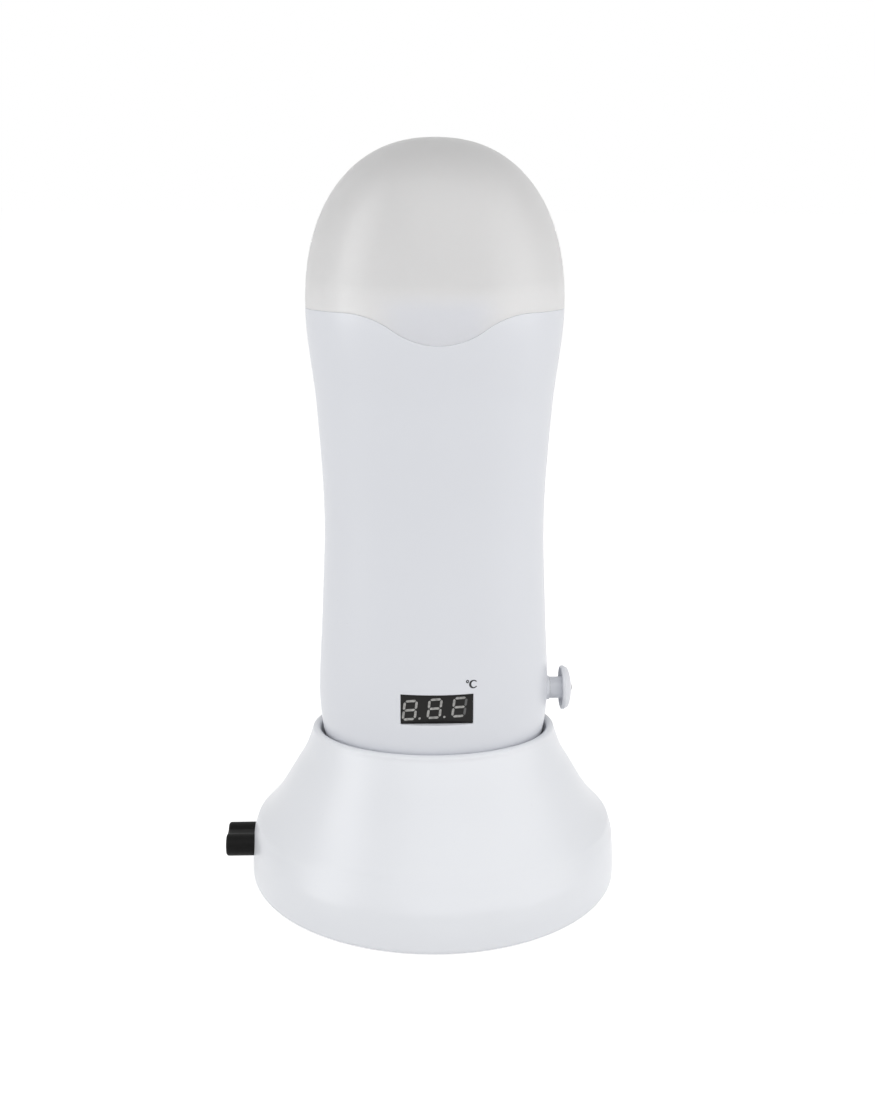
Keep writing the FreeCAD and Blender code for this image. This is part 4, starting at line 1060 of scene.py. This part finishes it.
# ------------------------------------------------------------------ power inlet
# A socket for a two-pole cord: a figure-eight shroud moulded in black plastic, with two pins in it,
# pushed out through a hole in the drum's left side.
inlet_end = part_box("power_inlet")[0][0] / mm
pins_low, pins_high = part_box("inlet_pins")
inlet_z = (pins_low[2] + pins_high[2]) / 2 / mm
lobe_radius = 3.7
lobe_pitch = 8.6
socket_wall = 0.9
socket_depth = 8.0
shroud_length = 15.0
socket_black = (0.0035, 0.0034, 0.0033)
inlet_black = moulding("black socket plastic", socket_black, 0.5, 0.3, 0.25, 1.2, 0.03, shine=0.12)


def figure_eight_outline(radius, steps=24):
    """The section of the shroud: two round lobes and the shallow waists between them."""
    waist = radius * 0.72
    half = lobe_pitch / 2
    lean = math.asin(waist / radius)
    outline = []
    for middle, start in ((half, lean - math.pi), (-half, lean)):
        for i in range(steps + 1):
            a = start + (2 * math.pi - 2 * lean) * i / steps
            outline.append((middle + radius * math.cos(a), radius * math.sin(a)))
    return outline


def figure_eight_bar(name, stations, material):
    """A bar along X of figure-eight section: (radius, x) stations, closed at both ends."""
    rows = []
    for radius, x in stations:
        rows.append([Vector((x, y, inlet_z + z)) for y, z in figure_eight_outline(radius)])
    return piece_through(name, rows, material, loop=False)


socket_radius = lobe_radius - socket_wall
shroud_stations = [(socket_radius, inlet_end + socket_depth), (socket_radius, inlet_end + 0.35)]
shroud_stations.append((socket_radius + 0.05, inlet_end + 0.05))
for turn in (math.radians(a) for a in (0, 20, 40, 60, 80, 90)):
    out, back = socket_wall * math.sin(turn), socket_wall * (1 - math.cos(turn))
    shroud_stations.append((socket_radius + out, inlet_end + back))
shroud_stations.append((lobe_radius, inlet_end + shroud_length))
shroud = figure_eight_bar("inlet_shroud", shroud_stations, inlet_black)
hole_radius = lobe_radius + 0.15
bore(bell, figure_eight_bar("inlet hole cutter", [(hole_radius, -75.0), (hole_radius, -45.0)], inlet_black))
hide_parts("power_inlet")
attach(shroud, "base")

# ------------------------------------------------------------------ contact springs
# Two leaves of spring bronze lie in the contact block under the pins: flat where they are fixed, curved
# up to a flat tip. A pressed pin flattens them; here they keep one shape.
bronze = brushed_metal("spring bronze", (0.62, 0.42, 0.2), 0.34, 700.0)
leaf_thickness = 0.4
leaf_fixed_length = 4.0
leaf_tip_length = 3.0


def contact_leaf(side, node):
    """One leaf: side is -1 for the left and 1 for the right."""
    low, high = (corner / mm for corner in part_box(node))
    outer, inner = (high[0], low[0]) if side > 0 else (low[0], high[0])
    fixed_end = outer - side * leaf_fixed_length
    tip_start = inner + side * leaf_tip_length
    rise = high[2] - leaf_thickness - low[2]
    top_edge = [(outer, 0.0)]
    for i in range(17):
        share = i / 16
        up = rise * (0.5 - 0.5 * math.cos(math.pi * share))
        top_edge.append((fixed_end + (tip_start - fixed_end) * share, up))
    top_edge.append((inner, rise))
    rows = []
    for x, up in top_edge:
        section = ((low[1], 0), (high[1], 0), (high[1], leaf_thickness), (low[1], leaf_thickness))
        rows.append([(x, y, low[2] + up + z) for y, z in section])
    leaf = piece_through(node + "_spring", rows, bronze, loop=False)
    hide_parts(node)
    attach(leaf, "base")
    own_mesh(leaf)


contact_leaf(-1, "contact_leaf_left")
contact_leaf(1, "contact_leaf_right")

# ------------------------------------------------------------------ parts inside and underneath
# Boards, heater, sensors, contacts, cup, covers and foot keep the form of the frame. Each gets the finish of
# what it is made of: moulded plastic or rubber, turned, drawn or plated metal, or coated board.
satin_white = moulding("satin white ABS", (0.66, 0.67, 0.69), 0.42, grain=1.0, relief=0.02)
foot_rubber = moulding("foot rubber", (0.08, 0.08, 0.085), 0.75, drift=0.2, dust=0.8, grain=2.0, relief=0.05)
phenolic = moulding("black phenolic", (0.02, 0.018, 0.017), 0.5, drift=0.3, grain=1.0, relief=0.03)
board_green = moulding("green circuit board", (0.02, 0.11, 0.05), 0.35, drift=0.25, grain=1.5, relief=0.02)
silicone_red = moulding("heater silicone", (0.36, 0.07, 0.03), 0.55, drift=0.3, grain=1.6, relief=0.06)
relay_blue = moulding("relay housing", (0.03, 0.06, 0.2), 0.35, drift=0.2, grain=1.0, relief=0.02)
epoxy_black = moulding("epoxy bead", (0.015, 0.015, 0.018), 0.4, drift=0.2, grain=1.0, relief=0.03)
shaft_white = moulding("shaft nylon", (0.6, 0.6, 0.58), 0.45, grain=1.0, relief=0.02)
brass = brushed_metal("turned brass", (0.72, 0.52, 0.24), 0.28, 900.0)
drawn_aluminium = brushed_metal("drawn aluminium", (0.74, 0.74, 0.76), 0.36, 160.0, 0.02)
stainless = brushed_metal("stainless strip", (0.6, 0.6, 0.61), 0.3, 400.0)
nickel = brushed_metal("nickel plate", (0.7, 0.68, 0.62), 0.2, 900.0)
finishes = (
    (satin_white, "cradle_cup", "base_bottom_cover", "handset_bottom_cover"),
    (zinc, "base_screws", "chamber_screws", "clip_screw", "display_screws", "board_screws"),
    (foot_rubber, "foot_ring"),
    (phenolic, "contact_block"),
    (brass, "contact_pin_left", "contact_pin_right", "contact_studs"),
    (nickel, "inlet_pins", "thermal_fuse", "potentiometer"),
    (drawn_aluminium, "heating_chamber"),
    (silicone_red, "heater_wrap"),
    (stainless, "clamp_bands", "sensor_clip"),
    (epoxy_black, "thermistor"),
    (board_green, "display_board", "control_board"),
    (relay_blue, "board_components"),
    (shaft_white, "potentiometer_shaft"),
)
for finish, *names in finishes:
    for name in names:
        nodes[name].data.materials.clear()
        nodes[name].data.materials.append(finish)
